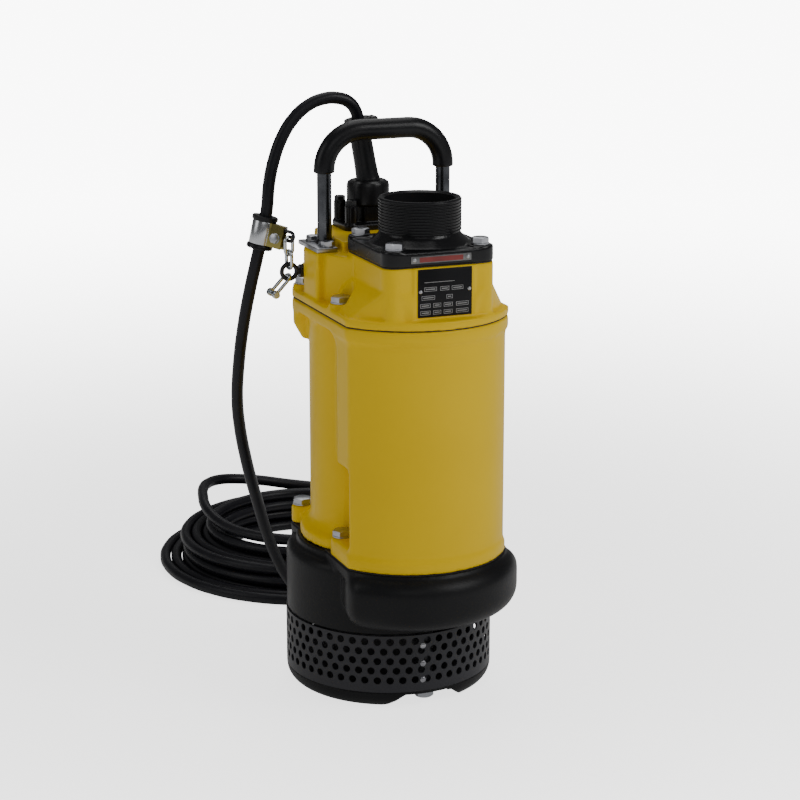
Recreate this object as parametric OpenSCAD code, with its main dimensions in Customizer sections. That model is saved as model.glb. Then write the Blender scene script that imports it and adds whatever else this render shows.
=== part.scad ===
// Submersible contractor's pump. A squirrel-cage motor stands in a cast frame
// over a bottom-suction impeller. Water is drawn in through the strainer, runs
// up a passage in front of the motor and leaves by the threaded port on top.
// Millimetres, +Z up. The origin is on the shaft axis, on the floor that the
// strainer stands on. -Y is the port's side and the handle's legs are at +X, -X.

/* [Strainer] */
// Outer radius of the rolled strainer screen
screen_r = 117; // [114:0.5:120]
// Thickness of the screen's sheet
screen_t = 2; // [1.5:0.5:3]
// Height of the screen's top edge above the floor
screen_top = 86; // [82:1:92]
// Diameter of the holes in the screen
hole_d = 8.4; // [6:0.2:9]
// Rows of holes
hole_rows = 5; // [3:1:5]
// Holes in each row
row_holes = 52; // [40:1:54]
// Distance between two rows of holes
row_step = 11.3; // [10:0.1:12]
// Height of the lowest row of holes
first_row_z = 34; // [30:1:36]
// Height of the cast base's rim, which carries the screen
base_rim_h = 20; // [18:1:24]
// Height of the base's floor above its feet
foot_h = 16; // [13:0.5:17]
// Width of each notch between two feet, as an angle
notch_angle = 50; // [30:1:60]
// Turn of the feet about the shaft
feet_turn = 1; // [-10:1:10]
// Radius of the circle of stay bolts
stay_bolt_r = 102; // [100:0.5:103]

/* [Pump casing] */
// Radius of the casing's round skirt
skirt_r = 116; // [114:0.5:119]
// Height of the casing, from the screen to the motor frame
casing_h = 85.5; // [84:0.5:96]
// How far the casing's front bulge stands out beyond the joint rims
bulge_proud = 12.3; // [10:0.1:20]
// Height of the bulge's underside above the strainer
bulge_low = 21; // [16:1:26]
// Radius of the opening in the casing's floor
casing_mouth_r = 90; // [86:1:92]
// Thickness of the suction cover
suction_cover_t = 12; // [10:1:13]
// Radius of the suction eye
eye_r = 42; // [34:1:50]

/* [Impeller] */
// Outer radius of the impeller
impeller_r = 76; // [66:1:79]
// Thickness of the impeller's back plate
shroud_t = 6; // [4:0.5:9]
// Number of vanes
vanes = 6; // [4:1:8]
// Thickness of each vane
vane_t = 5; // [4:0.5:7]
// Running gap between the vanes and the suction cover
vane_gap = 0.6; // [0.4:0.1:1.5]

/* [Motor frame] */
// Height of the motor frame
frame_h = 267.5; // [260:0.5:290]
// Radius of the round barrel that holds the motor
barrel_r = 88; // [86:0.5:89]
// Radius of the frame's front arc
front_r = 106; // [104:0.5:108]
// Distance of the front arc's centre in front of the shaft
front_off = 61; // [58:0.5:64]
// Half width of the frame across its side walls
side_x = 91; // [90:0.5:93]
// Radius of the frame's front corners
corner_r = 12; // [6:1:16]
// How far the joint rims stand proud of the walls
rim_proud = 3; // [1:0.5:4]
// Thickness of the frame's top rim
rim_t = 14; // [10:1:18]
// Height of the bolt lugs at the foot of the frame
lug_h = 22; // [18:1:28]
// Radius of the round rim at the foot of the frame
foot_rim_r = 100; // [97:0.5:102]
// Height of the pockets above the front lugs
pocket_h = 88; // [40:1:110]
// Wall between the discharge passage and the outside
passage_wall = 7; // [5:0.5:10]
// Half width of the discharge passage
passage_half_w = 52; // [44:1:54]

/* [Top cover] */
// Height of the cover's two side boxes above the frame
cover_h = 62; // [58:1:72]
// Thickness of the cover's rim plate
cover_plate_t = 10; // [8:1:12]
// Height of the cover's bolt lugs
cover_lug_h = 16; // [14:1:20]
// Step from the side boxes up to the cable seat
cable_seat_h = 11; // [8:1:14]
// Step from the side boxes up to the discharge neck
neck_step = 4; // [2:0.5:8]

/* [Discharge flange] */
// Width of the square flange
flange_w = 126; // [118:1:130]
// Thickness of the flange
flange_t = 16; // [12:1:20]
// Radius of the flange's corners
flange_corner_r = 16; // [8:1:20]
// Distance of the port behind the flange bolts' rows, in each direction
flange_bolt = 48.5; // [46:0.5:50]
// Distance of the port in front of the shaft
port_off = 92; // [90:0.5:94]
// Outer radius of the pipe thread's crests
thread_r = 44.45; // [40:0.05:46]
// Pitch of the pipe thread
thread_pitch = 3.175; // [2.5:0.025:4]
// Number of thread grooves
thread_turns = 10; // [6:1:11]
// Height of the port above the flange
port_h = 48; // [44:1:60]
// Radius of the port's bore
port_bore_r = 38; // [34:0.5:39]

/* [Handle] */
// Distance of each handle leg from the middle
handle_x = 70; // [69:0.5:72]
// Distance of the handle behind the shaft
handle_y = 11; // [8:0.5:14]
// Diameter of the handle's steel bar
handle_d = 16; // [12:0.5:18]
// Diameter of the rubber grip
grip_d = 23; // [20:0.5:28]
// Height of the bar's centre over the side boxes
handle_h = 127; // [118:1:150]
// Radius of the bar's bends
handle_bend_r = 42; // [30:1:46]
// Length of the grip's ends below the bends
grip_tail = 3; // [2:0.5:12]
// Thickness of the handle's foot plates
foot_plate_t = 5; // [3:0.5:8]

/* [Cable entry] */
// Distance of the cable gland behind the shaft
gland_y = 60; // [58:0.5:62]
// Diameter of the gland's round cap
cap_d = 43; // [40:0.5:46]
// Height of the gland's cap
cap_h = 27; // [20:1:32]
// Height of the gland's hexagonal tower
tower_h = 19; // [14:1:24]
// Diameter of the supply cable
cable_d = 14; // [14:0.5:15]

/* [Cable clamp] */
// Outer diameter of the rubber sleeve under the clamp
sleeve_d = 22; // [20:0.5:24]
// Diameter of the sleeve's end rings
sleeve_rim_d = 29; // [27:0.5:32]
// Length of the sleeve
sleeve_l = 37; // [34:1:38]
// Width of the steel band
band_w = 26; // [20:1:28]
// Thickness of the steel band
band_t = 2; // [1.5:0.5:2.5]
// Diameter of the chain's wire
chain_wire = 4; // [3:0.5:4]
// Diameter of the eye bolt's ring wire
eye_wire = 5; // [4:0.5:6]

/* [Motor] */
// Radius of the motor chamber and of the stator in it
bore_r = 78; // [76:0.5:79]
// Length of the stator's stack
stack_l = 130; // [110:1:140]
// Radius of the rotor
rotor_r = 45.8; // [40:0.2:48]
// Gap between the rotor and the stator
air_gap = 0.5; // [0.4:0.1:1]
// Radius of the shaft through the rotor
shaft_r = 17; // [16:0.5:19]

/* [Hidden] */

// Clearance of a part that is fitted and does not move
fit = 0.1;
// Clearance round a cable or a rubber part
soft_fit = 0.3;
// Segments on an arc of a polygon
arc_n = 12;
$fn = 64;

// Heights
casing_z = screen_top;
seam_z = casing_z + casing_h;
frame_top = seam_z + frame_h;
box_top = frame_top + cover_h;
neck_top = box_top + neck_step;
seat_top = box_top + cable_seat_h;
flange_top = neck_top + flange_t;
port_top = flange_top + port_h;

// Plan of the joints and bolts
lug_r = 14;
bolt_r = 6;
bolt_af = 19;
head_h = 7.5;
bolt_x = side_x + rim_proud - lug_r;
front_bolt_y = -65;
casing_bolt_y = 66;
cover_bolt_y = 50;
back_r = 96;
oil_seat_r = bore_r + 4;
bulge_r = front_r + rim_proud + bulge_proud;
gasket_t = 1;

// Casing and oil chamber
cover_face_z = casing_z + suction_cover_t;
volute_top = seam_z - 27;
deck_t = 13;
oil_top = seam_z + 32;
oil_lid_t = 9;
oil_floor_t = 10;
oil_chamber_r = 62;

// Motor
web_t = 20;
web_top = oil_top + web_t;
lower_bearing = [15, 36, 19, 5, 20.6, 30.9];
upper_bearing = [12.5, 26, 15, 3.8, 15.3, 23.2];
stack_z = web_top + 20;
bracket_z = frame_top - 34;
bracket_t = 7;

// Function of a circular arc, as points from angle a0 to a1
function arc(c, r, a0, a1, n = arc_n) =
    [for (i = [0:n]) let (a = a0 + (a1 - a0) * i / n) [c[0] + r * cos(a), c[1] + r * sin(a)]];

// The frame's front: an arc with rounded corners that run into the side walls
function front_points(g) =
    let (r = front_r + g, x = side_x + g - corner_r,
         y = -front_off - sqrt(pow(r - corner_r, 2) - x * x),
         a = atan2(y + front_off, x))
    concat(arc([-x, y], corner_r, -180, -180 - a, 6),
           arc([0, -front_off], r, -180 - a, a, 28),
           arc([x, y], corner_r, a, 0, 6));

// Outline of a joint face, g beyond the walls, with its rear lugs at back_y
function rim_points(g, back_y) =
    concat(front_points(g),
           arc([bolt_x, back_y], lug_r + g - rim_proud, 0, 70, 8),
           arc([0, 0], back_r + g - rim_proud, 66, 114, 14),
           arc([-bolt_x, back_y], lug_r + g - rim_proud, 110, 180, 8));

// Outline of the discharge passage, between the motor's wall and the front wall
function passage_points(wall, half_w) =
    let (r = front_r - wall, a = asin(half_w / r), b = asin(half_w / barrel_r))
    concat(arc([0, -front_off], r, -90 - a, -90 + a, 16),
           arc([0, 0], barrel_r, -90 + b, -90 - b, 16));

function square_points(w, r) =
    let (h = w / 2 - r)
    concat(arc([h, -h], r, -90, 0, 8), arc([h, h], r, 0, 90, 8),
           arc([-h, h], r, 90, 180, 8), arc([-h, -h], r, 180, 270, 8));

module ring(r_out, r_in, h) {
    difference() {
        cylinder(r = r_out, h = h);
        translate([0, 0, -1]) cylinder(r = r_in, h = h + 2);
    }
}
module slab(points, z0, z1) { translate([0, 0, z0]) linear_extrude(z1 - z0) polygon(points); }
module box(a, b) { translate(a) cube(b - a); }
module both_sides() { children(); mirror([1, 0, 0]) children(); }

// A hex bolt whose seat is at the origin, with its shank pointing down
module hex_bolt(r, af, head, l) {
    cylinder(d = af / cos(30), h = head, $fn = 6);
    translate([0, 0, -l]) cylinder(r = r, h = l + 0.01);
}

// Four places of bolts: two in front and two behind
module four_bolts(back_y) {
    both_sides() {
        translate([bolt_x, front_bolt_y, 0]) children();
        translate([bolt_x, back_y, 0]) children();
    }
}
module flange_corners() {
    for (sx = [-1, 1], sy = [-1, 1])
        translate([sx * flange_bolt, -port_off + sy * flange_bolt, 0]) children();
}
module stay_places() {
    for (i = [0:2]) rotate(feet_turn - 90 + 120 * i) translate([stay_bolt_r, 0, 0]) children();
}

/* ---- Strainer ---- */

base_ring_in = 88;
base_edge_r = 18;
// Cast base: a floor plate inside a rim, on three feet with notches between them
module strainer_base() {
    color("#1b1b1d") difference() {
        rotate_extrude($fn = 120) polygon(concat(
            [[0, foot_h], [base_ring_in - 4, foot_h], [base_ring_in, 0]],
            arc([screen_r - base_edge_r, base_edge_r], base_edge_r, -90, 0, 8),
            [[screen_r, base_rim_h], [0, base_rim_h]]));
        for (i = [0:2]) rotate(feet_turn - 90 + 120 * i) notch();
        stay_places() translate([0, 0, -1]) cylinder(r = bolt_r + 0.5, h = base_rim_h + 2);
    }
}
module notch() {
    half = (screen_r - 7) * sin(notch_angle / 2);
    translate([base_ring_in - 8, 0, 0]) rotate([90, 0, 90]) linear_extrude(50) polygon([
        [-half - 2, -1], [half + 2, -1], [half * 0.57, foot_h + 0.4], [-half * 0.57, foot_h + 0.4]]);
}

// Rolled screen with staggered rows of round holes and a spot-welded lap
module strainer_screen() {
    color("#222225") {
        difference() {
            translate([0, 0, base_rim_h]) ring(screen_r, screen_r - screen_t, screen_top - base_rim_h);
            for (row = [0:hole_rows - 1], i = [0:row_holes - 1])
                rotate((i + row % 2 / 2) * 360 / row_holes)
                    translate([screen_r - screen_t - 1, 0, first_row_z + row * row_step])
                        rotate([0, 90, 0]) cylinder(d = hole_d, h = screen_t + 2, $fn = 16);
        }
    }
}

// Stay bolts from under the base, and the tubes that space base and casing
module stay_bolts() {
    color("#c9ccd0") stay_places() {
        translate([0, 0, foot_h - head_h]) cylinder(d = bolt_af / cos(30), h = head_h, $fn = 6);
        cylinder_between(foot_h, cover_face_z - 2.5, bolt_r - fit);
    }
}
module stay_tubes() {
    color("#3a3c3f") stay_places() translate([0, 0, base_rim_h])
        ring(bolt_r + 4, bolt_r, casing_z - base_rim_h);
}
module cylinder_between(z0, z1, r) { translate([0, 0, z0]) cylinder(r = r, h = z1 - z0); }

/* ---- Pump end ---- */

// Wear plate that closes the casing from below round the suction eye
module suction_cover() {
    color("#2a2a2c") difference() {
        translate([0, 0, casing_z]) cylinder(r = casing_mouth_r - fit, h = suction_cover_t);
        translate([0, 0, casing_z - 1]) cylinder(r = eye_r, h = suction_cover_t + 2);
        translate([0, 0, casing_z - 0.01]) cylinder(r1 = eye_r + 6, r2 = eye_r, h = 6);
    }
}

bulge_top = seam_z - 2;
bulge_from = -148;
bulge_angle = 136;
// Profile of the bulge, from the front arc's centre outwards
function bulge_profile() =
    let (z = casing_z + bulge_low)
    concat([[40, z]],
           arc([bulge_r - 24, z + 24], 24, -90, 0, 10),
           arc([bulge_r - 21, bulge_top - 21], 21, 0, 62, 8),
           [[front_r + rim_proud - 0.6, bulge_top - 1], [front_r + rim_proud - 0.6, seam_z],
            [40, seam_z]]);
// Profile of the round skirt, with its rounded shoulder under the joint
function skirt_profile() =
    concat([[0, casing_z], [skirt_r, casing_z]],
           arc([skirt_r - 12, seam_z - 19.5], 12, 0, 80, 8),
           [[skirt_r - 12, seam_z - 7], [skirt_r - 12, seam_z], [0, seam_z]]);

// Radius of the volute's wall at an angle, growing from the tongue round the casing
function volute_points() =
    [for (i = [0:47]) let (a = i * 7.5) (impeller_r + 6 + a / 360 * 18) * [cos(a - 60), sin(a - 60)]];

module pump_casing() {
    color("#1d1d1f") difference() {
        union() {
            rotate_extrude($fn = 120) polygon(skirt_profile());
            slab(rim_points(rim_proud - 1, casing_bolt_y), seam_z - deck_t, seam_z);
            translate([0, -front_off, 0]) rotate(bulge_from)
                rotate_extrude(angle = bulge_angle, $fn = 120) polygon(bulge_profile());
        }
        cylinder_between(casing_z - 1, cover_face_z + 0.4, casing_mouth_r);
        slab(volute_points(), cover_face_z, volute_top);
        slab(passage_points(0, passage_half_w + 4), casing_z + bulge_low + 11, seam_z - 16);
        slab(passage_points(passage_wall, passage_half_w), seam_z - 20, seam_z + 5);
        cylinder_between(volute_top - 1, seam_z + 1, oil_seat_r);
        four_bolts(casing_bolt_y) cylinder_between(seam_z - 24, seam_z + 1, bolt_r - 0.6);
        stay_places() cylinder_between(casing_z - 1, cover_face_z - 2, bolt_r);
    }
}

// Gasket in the joint between the casing and the frame
module casing_gasket() {
    color("#111111") difference() {
        slab(rim_points(rim_proud - 2, casing_bolt_y), seam_z, seam_z + gasket_t);
        cylinder_between(seam_z - 1, seam_z + 3, oil_seat_r);
        slab(passage_points(passage_wall, passage_half_w), seam_z - 1, seam_z + 3);
        four_bolts(casing_bolt_y) cylinder_between(seam_z - 1, seam_z + 3, bolt_r + 0.5);
    }
}

// Cup of oil that the shaft seals run in
module oil_casing() {
    color("#4a4d50") difference() {
        union() {
            cylinder_between(volute_top, seam_z + gasket_t, oil_seat_r - fit);
            cylinder_between(seam_z, oil_top, bore_r - fit);
        }
        cylinder_between(volute_top + oil_floor_t, oil_top + 1, oil_chamber_r);
        cylinder_between(volute_top - 1, oil_top, seal_seat_r);
        translate([0, oil_chamber_r - 2, seam_z - 8]) rotate([-90, 0, 0]) cylinder(r = 5, h = 40);
    }
}
module oil_casing_lid() {
    color("#55585b") difference() {
        cylinder_between(oil_top - oil_lid_t, oil_top - fit, oil_chamber_r - fit);
        cylinder_between(oil_top - oil_lid_t - 1, oil_top + 1, seal_seat_r);
    }
}
module oil_plug() {
    color("#b7babd") translate([0, 0, seam_z - 8]) rotate([-90, 0, 0]) {
        translate([0, 0, oil_chamber_r + 2]) cylinder(r = 5 - fit, h = oil_seat_r - oil_chamber_r - 3);
    }
}

/* ---- Motor frame ---- */

pocket_top = seam_z + lug_h + pocket_h;
channel_r = 16;
rear_lug_h = 29;
module front_block(z0, z1) {
    slab(concat(front_points(0), [[side_x, front_bolt_y - 5], [channel_x, -30],
                                  [-channel_x, -30], [-side_x, front_bolt_y - 5]]), z0, z1);
}
channel_x = bolt_x - channel_r + 6;
// Outline of the frame's front foot, rounded behind its bolts
function foot_points() =
    concat(front_points(rim_proud - 1), arc([bolt_x, front_bolt_y], lug_r - 1, 0, 80, 8),
           arc([-bolt_x, front_bolt_y], lug_r - 1, 100, 180, 8));

module motor_frame() {
    color("#e6c81e") difference() {
        union() {
            cylinder_between(frame_z, frame_top, barrel_r);
            // Front block, with bolt channels and open pockets above the lower bolts
            difference() {
                front_block(frame_z, frame_top);
                both_sides() {
                    translate([bolt_x, front_bolt_y, 0])
                        cylinder_between(seam_z + lug_h, frame_top - rim_t - 20, channel_r);
                    slab([[side_x + 9, -112], [side_x - 5, -112], [61, front_bolt_y + 5], [61, -24],
                          [side_x + 9, -24]], seam_z + lug_h, pocket_top);
                }
            }
            slab(foot_points(), frame_z, frame_z + 13);
            rotate_extrude($fn = 120) polygon([
                [60, frame_z], [foot_rim_r, frame_z], [foot_rim_r, frame_z + 12],
                [barrel_r + 3, frame_z + 20], [barrel_r - 1, frame_z + 30], [60, frame_z + 30]]);
            slab(rim_points(rim_proud, cover_bolt_y), frame_top - rim_t, frame_top);
            four_bolts(casing_bolt_y) cylinder_between(frame_z, seam_z + lug_h, lug_r - 1.6);
            both_sides() rotate(atan2(casing_bolt_y, bolt_x))
                box([barrel_r - 6, 3 - lug_r, frame_z + 5],
                    [norm([bolt_x, casing_bolt_y]), lug_r - 3, seam_z + lug_h]);
            both_sides() translate([bolt_x, cover_bolt_y, 0]) {
                cylinder_between(frame_top - rear_lug_h, frame_top - 1, lug_r - 0.8);
                translate([0, 0, frame_top - rear_lug_h - 19]) cylinder(r1 = 3, r2 = lug_r - 0.8, h = 19);
            }
        }
        // Seat of the oil casing, bearing web, motor chamber and its mouth
        cylinder_between(seam_z - 1, oil_top, bore_r);
        cylinder_between(oil_top - 1, web_top, lower_bearing[0] + 7);
        cylinder_between(web_top - lower_bearing[2], web_top + 1, lower_bearing[1] + 0.01);
        cylinder_between(web_top, frame_top + 1, bore_r);
        cylinder_between(bracket_z, frame_top + 1, bore_r + 2.5);
        slab(passage_points(passage_wall, passage_half_w), seam_z - 1, frame_top + 1);
        four_bolts(casing_bolt_y) cylinder_between(seam_z - 1, seam_z + lug_h + 1, bolt_r + 0.5);
        four_bolts(cover_bolt_y) cylinder_between(frame_top - 22, frame_top + 1, bolt_r - 0.6);
    }
}
frame_z = seam_z + gasket_t;

module frame_bolts() {
    color("#c4c7cb") four_bolts(casing_bolt_y)
        translate([0, 0, seam_z + lug_h]) hex_bolt(bolt_r - 0.7, bolt_af, head_h, lug_h + 20);
}

/* ---- Top cover ---- */

cover_z = frame_top + gasket_t;
box_front_y = -21;
seat_x = 61;
shoulder_z = frame_top + 41;
plate_pad = [-33, 36, 157];
function back_arc(a) = arc([0, 0], back_r - 2, a, 180 - a, 14);
function box_points() = concat(arc([side_x - 4, box_front_y + 4], 4, -90, 0, 4), [[side_x, 22]],
    back_arc(50), [[-side_x, 22]], arc([4 - side_x, box_front_y + 4], 4, 180, 270, 4));
module neck_slab(z0, z1) {
    translate([0, -port_off, 0]) slab(square_points(flange_w, flange_corner_r), z0, z1);
}

module top_cover() {
    color("#e6c81e") difference() {
        union() {
            slab(rim_points(rim_proud, cover_bolt_y), cover_z, frame_top + cover_plate_t);
            four_bolts(cover_bolt_y) cylinder_between(cover_z, frame_top + cover_lug_h, lug_r - 1);
            slab(box_points(), cover_z, box_top);
            // Pads under the handle's feet, and the seat of the cable entry
            both_sides() box([seat_x, box_front_y - 1.5, box_top - 14], [side_x, box_front_y + 6, box_top]);
            slab(concat([[-seat_x, box_front_y - 2.5], [seat_x, box_front_y - 2.5]], back_arc(50)),
                 box_top - 14, seat_top);
            neck_slab(frame_top + cover_plate_t, neck_top);
            box([-48, -60, frame_top], [48, box_front_y + 6, neck_top]);
            slab([[0.5 - seat_x, -64], [seat_x - 0.5, -64], [side_x - 7, box_front_y + 3],
                  [7 - side_x, box_front_y + 3]], frame_top + 4, box_top - 0.6);
            hull() {
                slab(concat(front_points(-4), [[side_x - 8, -50], [8 - side_x, -50]]),
                     frame_top + cover_plate_t - 1, frame_top + cover_plate_t + 2);
                translate([0, -port_off, 0])
                    slab(square_points(flange_w - 0.2, flange_corner_r), shoulder_z - 1, shoulder_z);
            }
            box([plate_pad[0], -plate_pad[2], frame_top + cover_plate_t],
                [plate_pad[1], -port_off, neck_top - 1]);
            translate([-boss_x - 1, eye_c[1], eye_c[2]]) rotate([0, 90, 0]) cylinder(r = 9, h = boss_x - 69);
        }
        // Flat face for the nameplate
        box([plate_pad[0], -200, frame_top + cover_plate_t], [plate_pad[1], -plate_pad[2], neck_top]);
        // Discharge chamber
        slab(passage_points(passage_wall, passage_half_w), cover_z - 1, frame_top + 8);
        slab(passage_points(passage_wall + 15, passage_half_w - 6), frame_top + 7, frame_top + 36);
        translate([0, -port_off, 0]) cylinder_between(frame_top + 18, neck_top + 1, port_bore_r);
        // Chamber above the motor
        intersection() {
            cylinder_between(cover_z - 1, box_top - 24, bore_r - 3);
            union() {
                box([-side_x, box_front_y + 8, 0], [side_x, 72, box_top]);
                box([-48, -44, 0], [48, box_front_y + 9, box_top]);
            }
        }
        // Bolt holes and the room round the rear bolts' heads
        four_bolts(cover_bolt_y) cylinder_between(cover_z - 1, frame_top + cover_lug_h + 1, bolt_r + 0.5);
        four_bolts(cover_bolt_y) cylinder_between(frame_top + cover_lug_h, seat_top + 1, lug_r + 1.5);
        flange_corners() cylinder_between(neck_top - 20, neck_top + 1, bolt_r - 1.6);
        translate([0, gland_y, 0]) cylinder_between(box_top - 25, seat_top + 1, gland_bore_r);
        // Spot face for the eye bolt's lock nut, and its hole
        translate([-boss_x, eye_c[1], eye_c[2]]) rotate([0, -90, 0]) cylinder(r = 9.8, h = 4);
        eye_place() rotate([0, 90, 0]) cylinder(r = eye_shank_r, h = -boss_x - eye_c[0] + 14);
        foot_bolts() cylinder_between(box_top - 16, box_top + 1, foot_bolt_r);
        gland_place() post_places() cylinder_between(seat_top - 7, seat_top + 1, 4);
    }
}

module cover_gasket() {
    color("#111111") difference() {
        slab(rim_points(rim_proud - 1, cover_bolt_y), frame_top, cover_z);
        cylinder_between(frame_top - 1, cover_z + 1, bore_r + 2.5);
        slab(passage_points(passage_wall, passage_half_w), frame_top - 1, cover_z + 1);
        four_bolts(cover_bolt_y) cylinder_between(frame_top - 1, cover_z + 1, bolt_r + 0.5);
    }
}
module cover_bolts() {
    color("#c4c7cb") four_bolts(cover_bolt_y)
        translate([0, 0, frame_top + cover_lug_h]) hex_bolt(bolt_r - 0.7, bolt_af, head_h, cover_lug_h + 20);
}

/* ---- Discharge flange ---- */

// Top of the cone that the port grows out of
root_h = 10;
flange_z = neck_top + gasket_t;
module discharge_flange() {
    color("#17171a") translate([0, -port_off, 0]) difference() {
        union() {
            slab(square_points(flange_w, flange_corner_r), flange_z, flange_top);
            for (sx = [-1, 1], sy = [-1, 1]) translate([sx * flange_bolt, sy * flange_bolt, 0])
                cylinder_between(flange_z, flange_top + 2, flange_w / 2 - flange_bolt - 1);
            translate([0, 0, flange_top - 1])
                cylinder(r1 = thread_r + 12, r2 = thread_r, h = root_h, $fn = 96);
            translate([0, 0, flange_top]) cylinder(r = thread_r, h = port_h, $fn = 96);
        }
        cylinder_between(neck_top - 1, port_top + 1, port_bore_r);
        translate([0, 0, port_top - 2]) cylinder(r1 = port_bore_r - 0.01, r2 = port_bore_r + 2.5, h = 2.5);
        for (i = [0:thread_turns - 1]) translate([0, 0, port_top - (i + 1) * thread_pitch]) thread_groove();
        for (sx = [-1, 1], sy = [-1, 1]) translate([sx * flange_bolt, sy * flange_bolt, 0])
            cylinder_between(neck_top - 1, flange_top + 5, bolt_r - 0.5);
    }
}
module thread_groove() {
    half = thread_pitch * 0.35;
    rotate_extrude($fn = 96) polygon([[thread_r - 1.3, -0.3], [thread_r + 1, -half - 0.35],
                                      [thread_r + 1, half + 0.35], [thread_r - 1.3, 0.3]]);
}
module flange_gasket() {
    color("#111111") difference() {
        translate([0, -port_off, 0])
            slab(square_points(flange_w - 2, flange_corner_r - 1), neck_top, flange_z);
        translate([0, -port_off, 0]) cylinder_between(neck_top - 1, flange_z + 1, port_bore_r);
        flange_corners() cylinder_between(neck_top - 1, flange_z + 1, bolt_r - 0.5);
    }
}
module flange_bolts() {
    color("#c4c7cb") flange_corners()
        translate([0, 0, flange_top + 2]) hex_bolt(bolt_r - 1.7, bolt_af - 2, head_h, flange_t + 18);
}

// Blank strip riveted to the flange's front edge, and the blank nameplate below it
strip_size = [68, 8];
plate_size = [61, 51];
module flange_strip() {
    color("#9c3d3a") translate([-2, -port_off - flange_w / 2, (flange_z + flange_top) / 2])
        box([-strip_size[0] / 2, -1.2, -strip_size[1] / 2], [strip_size[0] / 2, 0, strip_size[1] / 2]);
}
module nameplate() {
    color("#141416") translate([1.5, -plate_pad[2], neck_top - 27])
        box([-plate_size[0] / 2, -1, -plate_size[1] / 2], [plate_size[0] / 2, 0, plate_size[1] / 2]);
}
module rivets() {
    color("#d5d7da") {
        for (s = [-1, 1]) {
            translate([-2 + s * (strip_size[0] / 2 - 4), -port_off - flange_w / 2 - 1.2,
                       (flange_z + flange_top) / 2])
                rivet();
            translate([1.5 + s * (plate_size[0] / 2 - 3), -plate_pad[2] - 1, neck_top - 25]) rivet();
        }
    }
}
module rivet() { rotate([90, 0, 0]) cylinder(r1 = 2.2, r2 = 1.2, h = 1.2, $fn = 24); }

/* ---- Handle ---- */

foot_bolt_r = 5;
foot_x = [seat_x + 5, side_x - 1.5];
foot_y = [-20, 43];
bend_z = box_top + handle_h - handle_bend_r;
module foot_bolts() {
    both_sides() for (p = [[77, 31], [74, -9.5]]) translate([p[0], p[1], 0]) children();
}
module handle_path(r, z0) {
    both_sides() {
        translate([handle_x, handle_y, z0]) cylinder(r = r, h = bend_z - z0);
        translate([handle_x - handle_bend_r, handle_y, bend_z]) rotate([90, 0, 0])
            rotate_extrude(angle = 90) translate([handle_bend_r, 0]) circle(r = r, $fn = 40);
    }
    translate([-(handle_x - handle_bend_r), handle_y, bend_z + handle_bend_r])
        rotate([0, 90, 0]) cylinder(r = r, h = 2 * (handle_x - handle_bend_r));
}
module lift_handle() {
    color("#b9bcc0") difference() {
        union() {
            handle_path(handle_d / 2, box_top);
            both_sides() box([foot_x[0], foot_y[0], box_top], [foot_x[1], foot_y[1], box_top + foot_plate_t]);
        }
        foot_bolts() cylinder_between(box_top - 1, box_top + foot_plate_t + 1, foot_bolt_r + 0.2);
    }
}
module handle_grip() {
    color("#19191b") difference() {
        handle_path(grip_d / 2, bend_z - grip_tail);
        handle_path(handle_d / 2 + fit, bend_z - grip_tail - 1);
    }
}
module handle_bolts() {
    color("#c9ccd0") foot_bolts()
        translate([0, 0, box_top + foot_plate_t]) hex_bolt(foot_bolt_r - 0.2, 13, 6, foot_plate_t + 14);
}

/* ---- Cable entry ---- */

gland_bore_r = 12;
gland_base_t = 7;
tower_z = seat_top + gland_base_t;
cap_z = tower_z + tower_h;
post_x = 27;
post_y = 18;
post_r = 7;
post_top = seat_top + 28;
boot_lean = 10;
boot_l = 62;
module gland_place() { translate([0, gland_y, 0]) children(); }
module post_places() {
    for (sx = [-1, 1], sy = [-1, 1]) translate([sx * post_x, sy * post_y, 0]) children();
}
// Outline of the gland's foot, rounded round its four posts
function pad_points(r) =
    concat(arc([post_x, -post_y], r, -90, 0, 8), arc([post_x, post_y], r, 0, 90, 8),
           arc([-post_x, post_y], r, 90, 180, 8), arc([-post_x, -post_y], r, 180, 270, 8));

module gland_body() {
    color("#1a1a1c") gland_place() difference() {
        union() {
            slab(pad_points(post_r + 1.5), seat_top, tower_z);
            translate([0, 0, seat_top]) cylinder(d = 38 / cos(30), h = cap_z - seat_top, $fn = 6);
            post_places() cylinder_between(seat_top, post_top, post_r);
        }
        cylinder_between(seat_top - 1, cap_z + 1, gland_bore_r);
        post_places() cylinder_between(seat_top - 1, post_top + 1, 4);
    }
}
module gland_bolts() {
    color("#a9acb0") gland_place() post_places()
        translate([0, 0, post_top]) hex_bolt(3.8, 11, 6, post_top - seat_top + 6);
}
module gland_cap() {
    color("#1a1a1c") gland_place() difference() {
        translate([0, 0, cap_z]) cylinder(d = cap_d, h = cap_h);
        cylinder_between(cap_z - 1, cap_z + cap_h - 4, 14);
        cylinder_between(cap_z, cap_z + cap_h + 1, boot_root_r + soft_fit);
    }
}
boot_root_r = 13.2;
boot_tip_r = 11.8;
module gland_bush() {
    color("#101010") gland_place() difference() {
        cylinder_between(seat_top + 2, cap_z - 1, gland_bore_r - fit);
        cylinder_between(seat_top, cap_z + 1, cable_r + soft_fit);
    }
}
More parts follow.
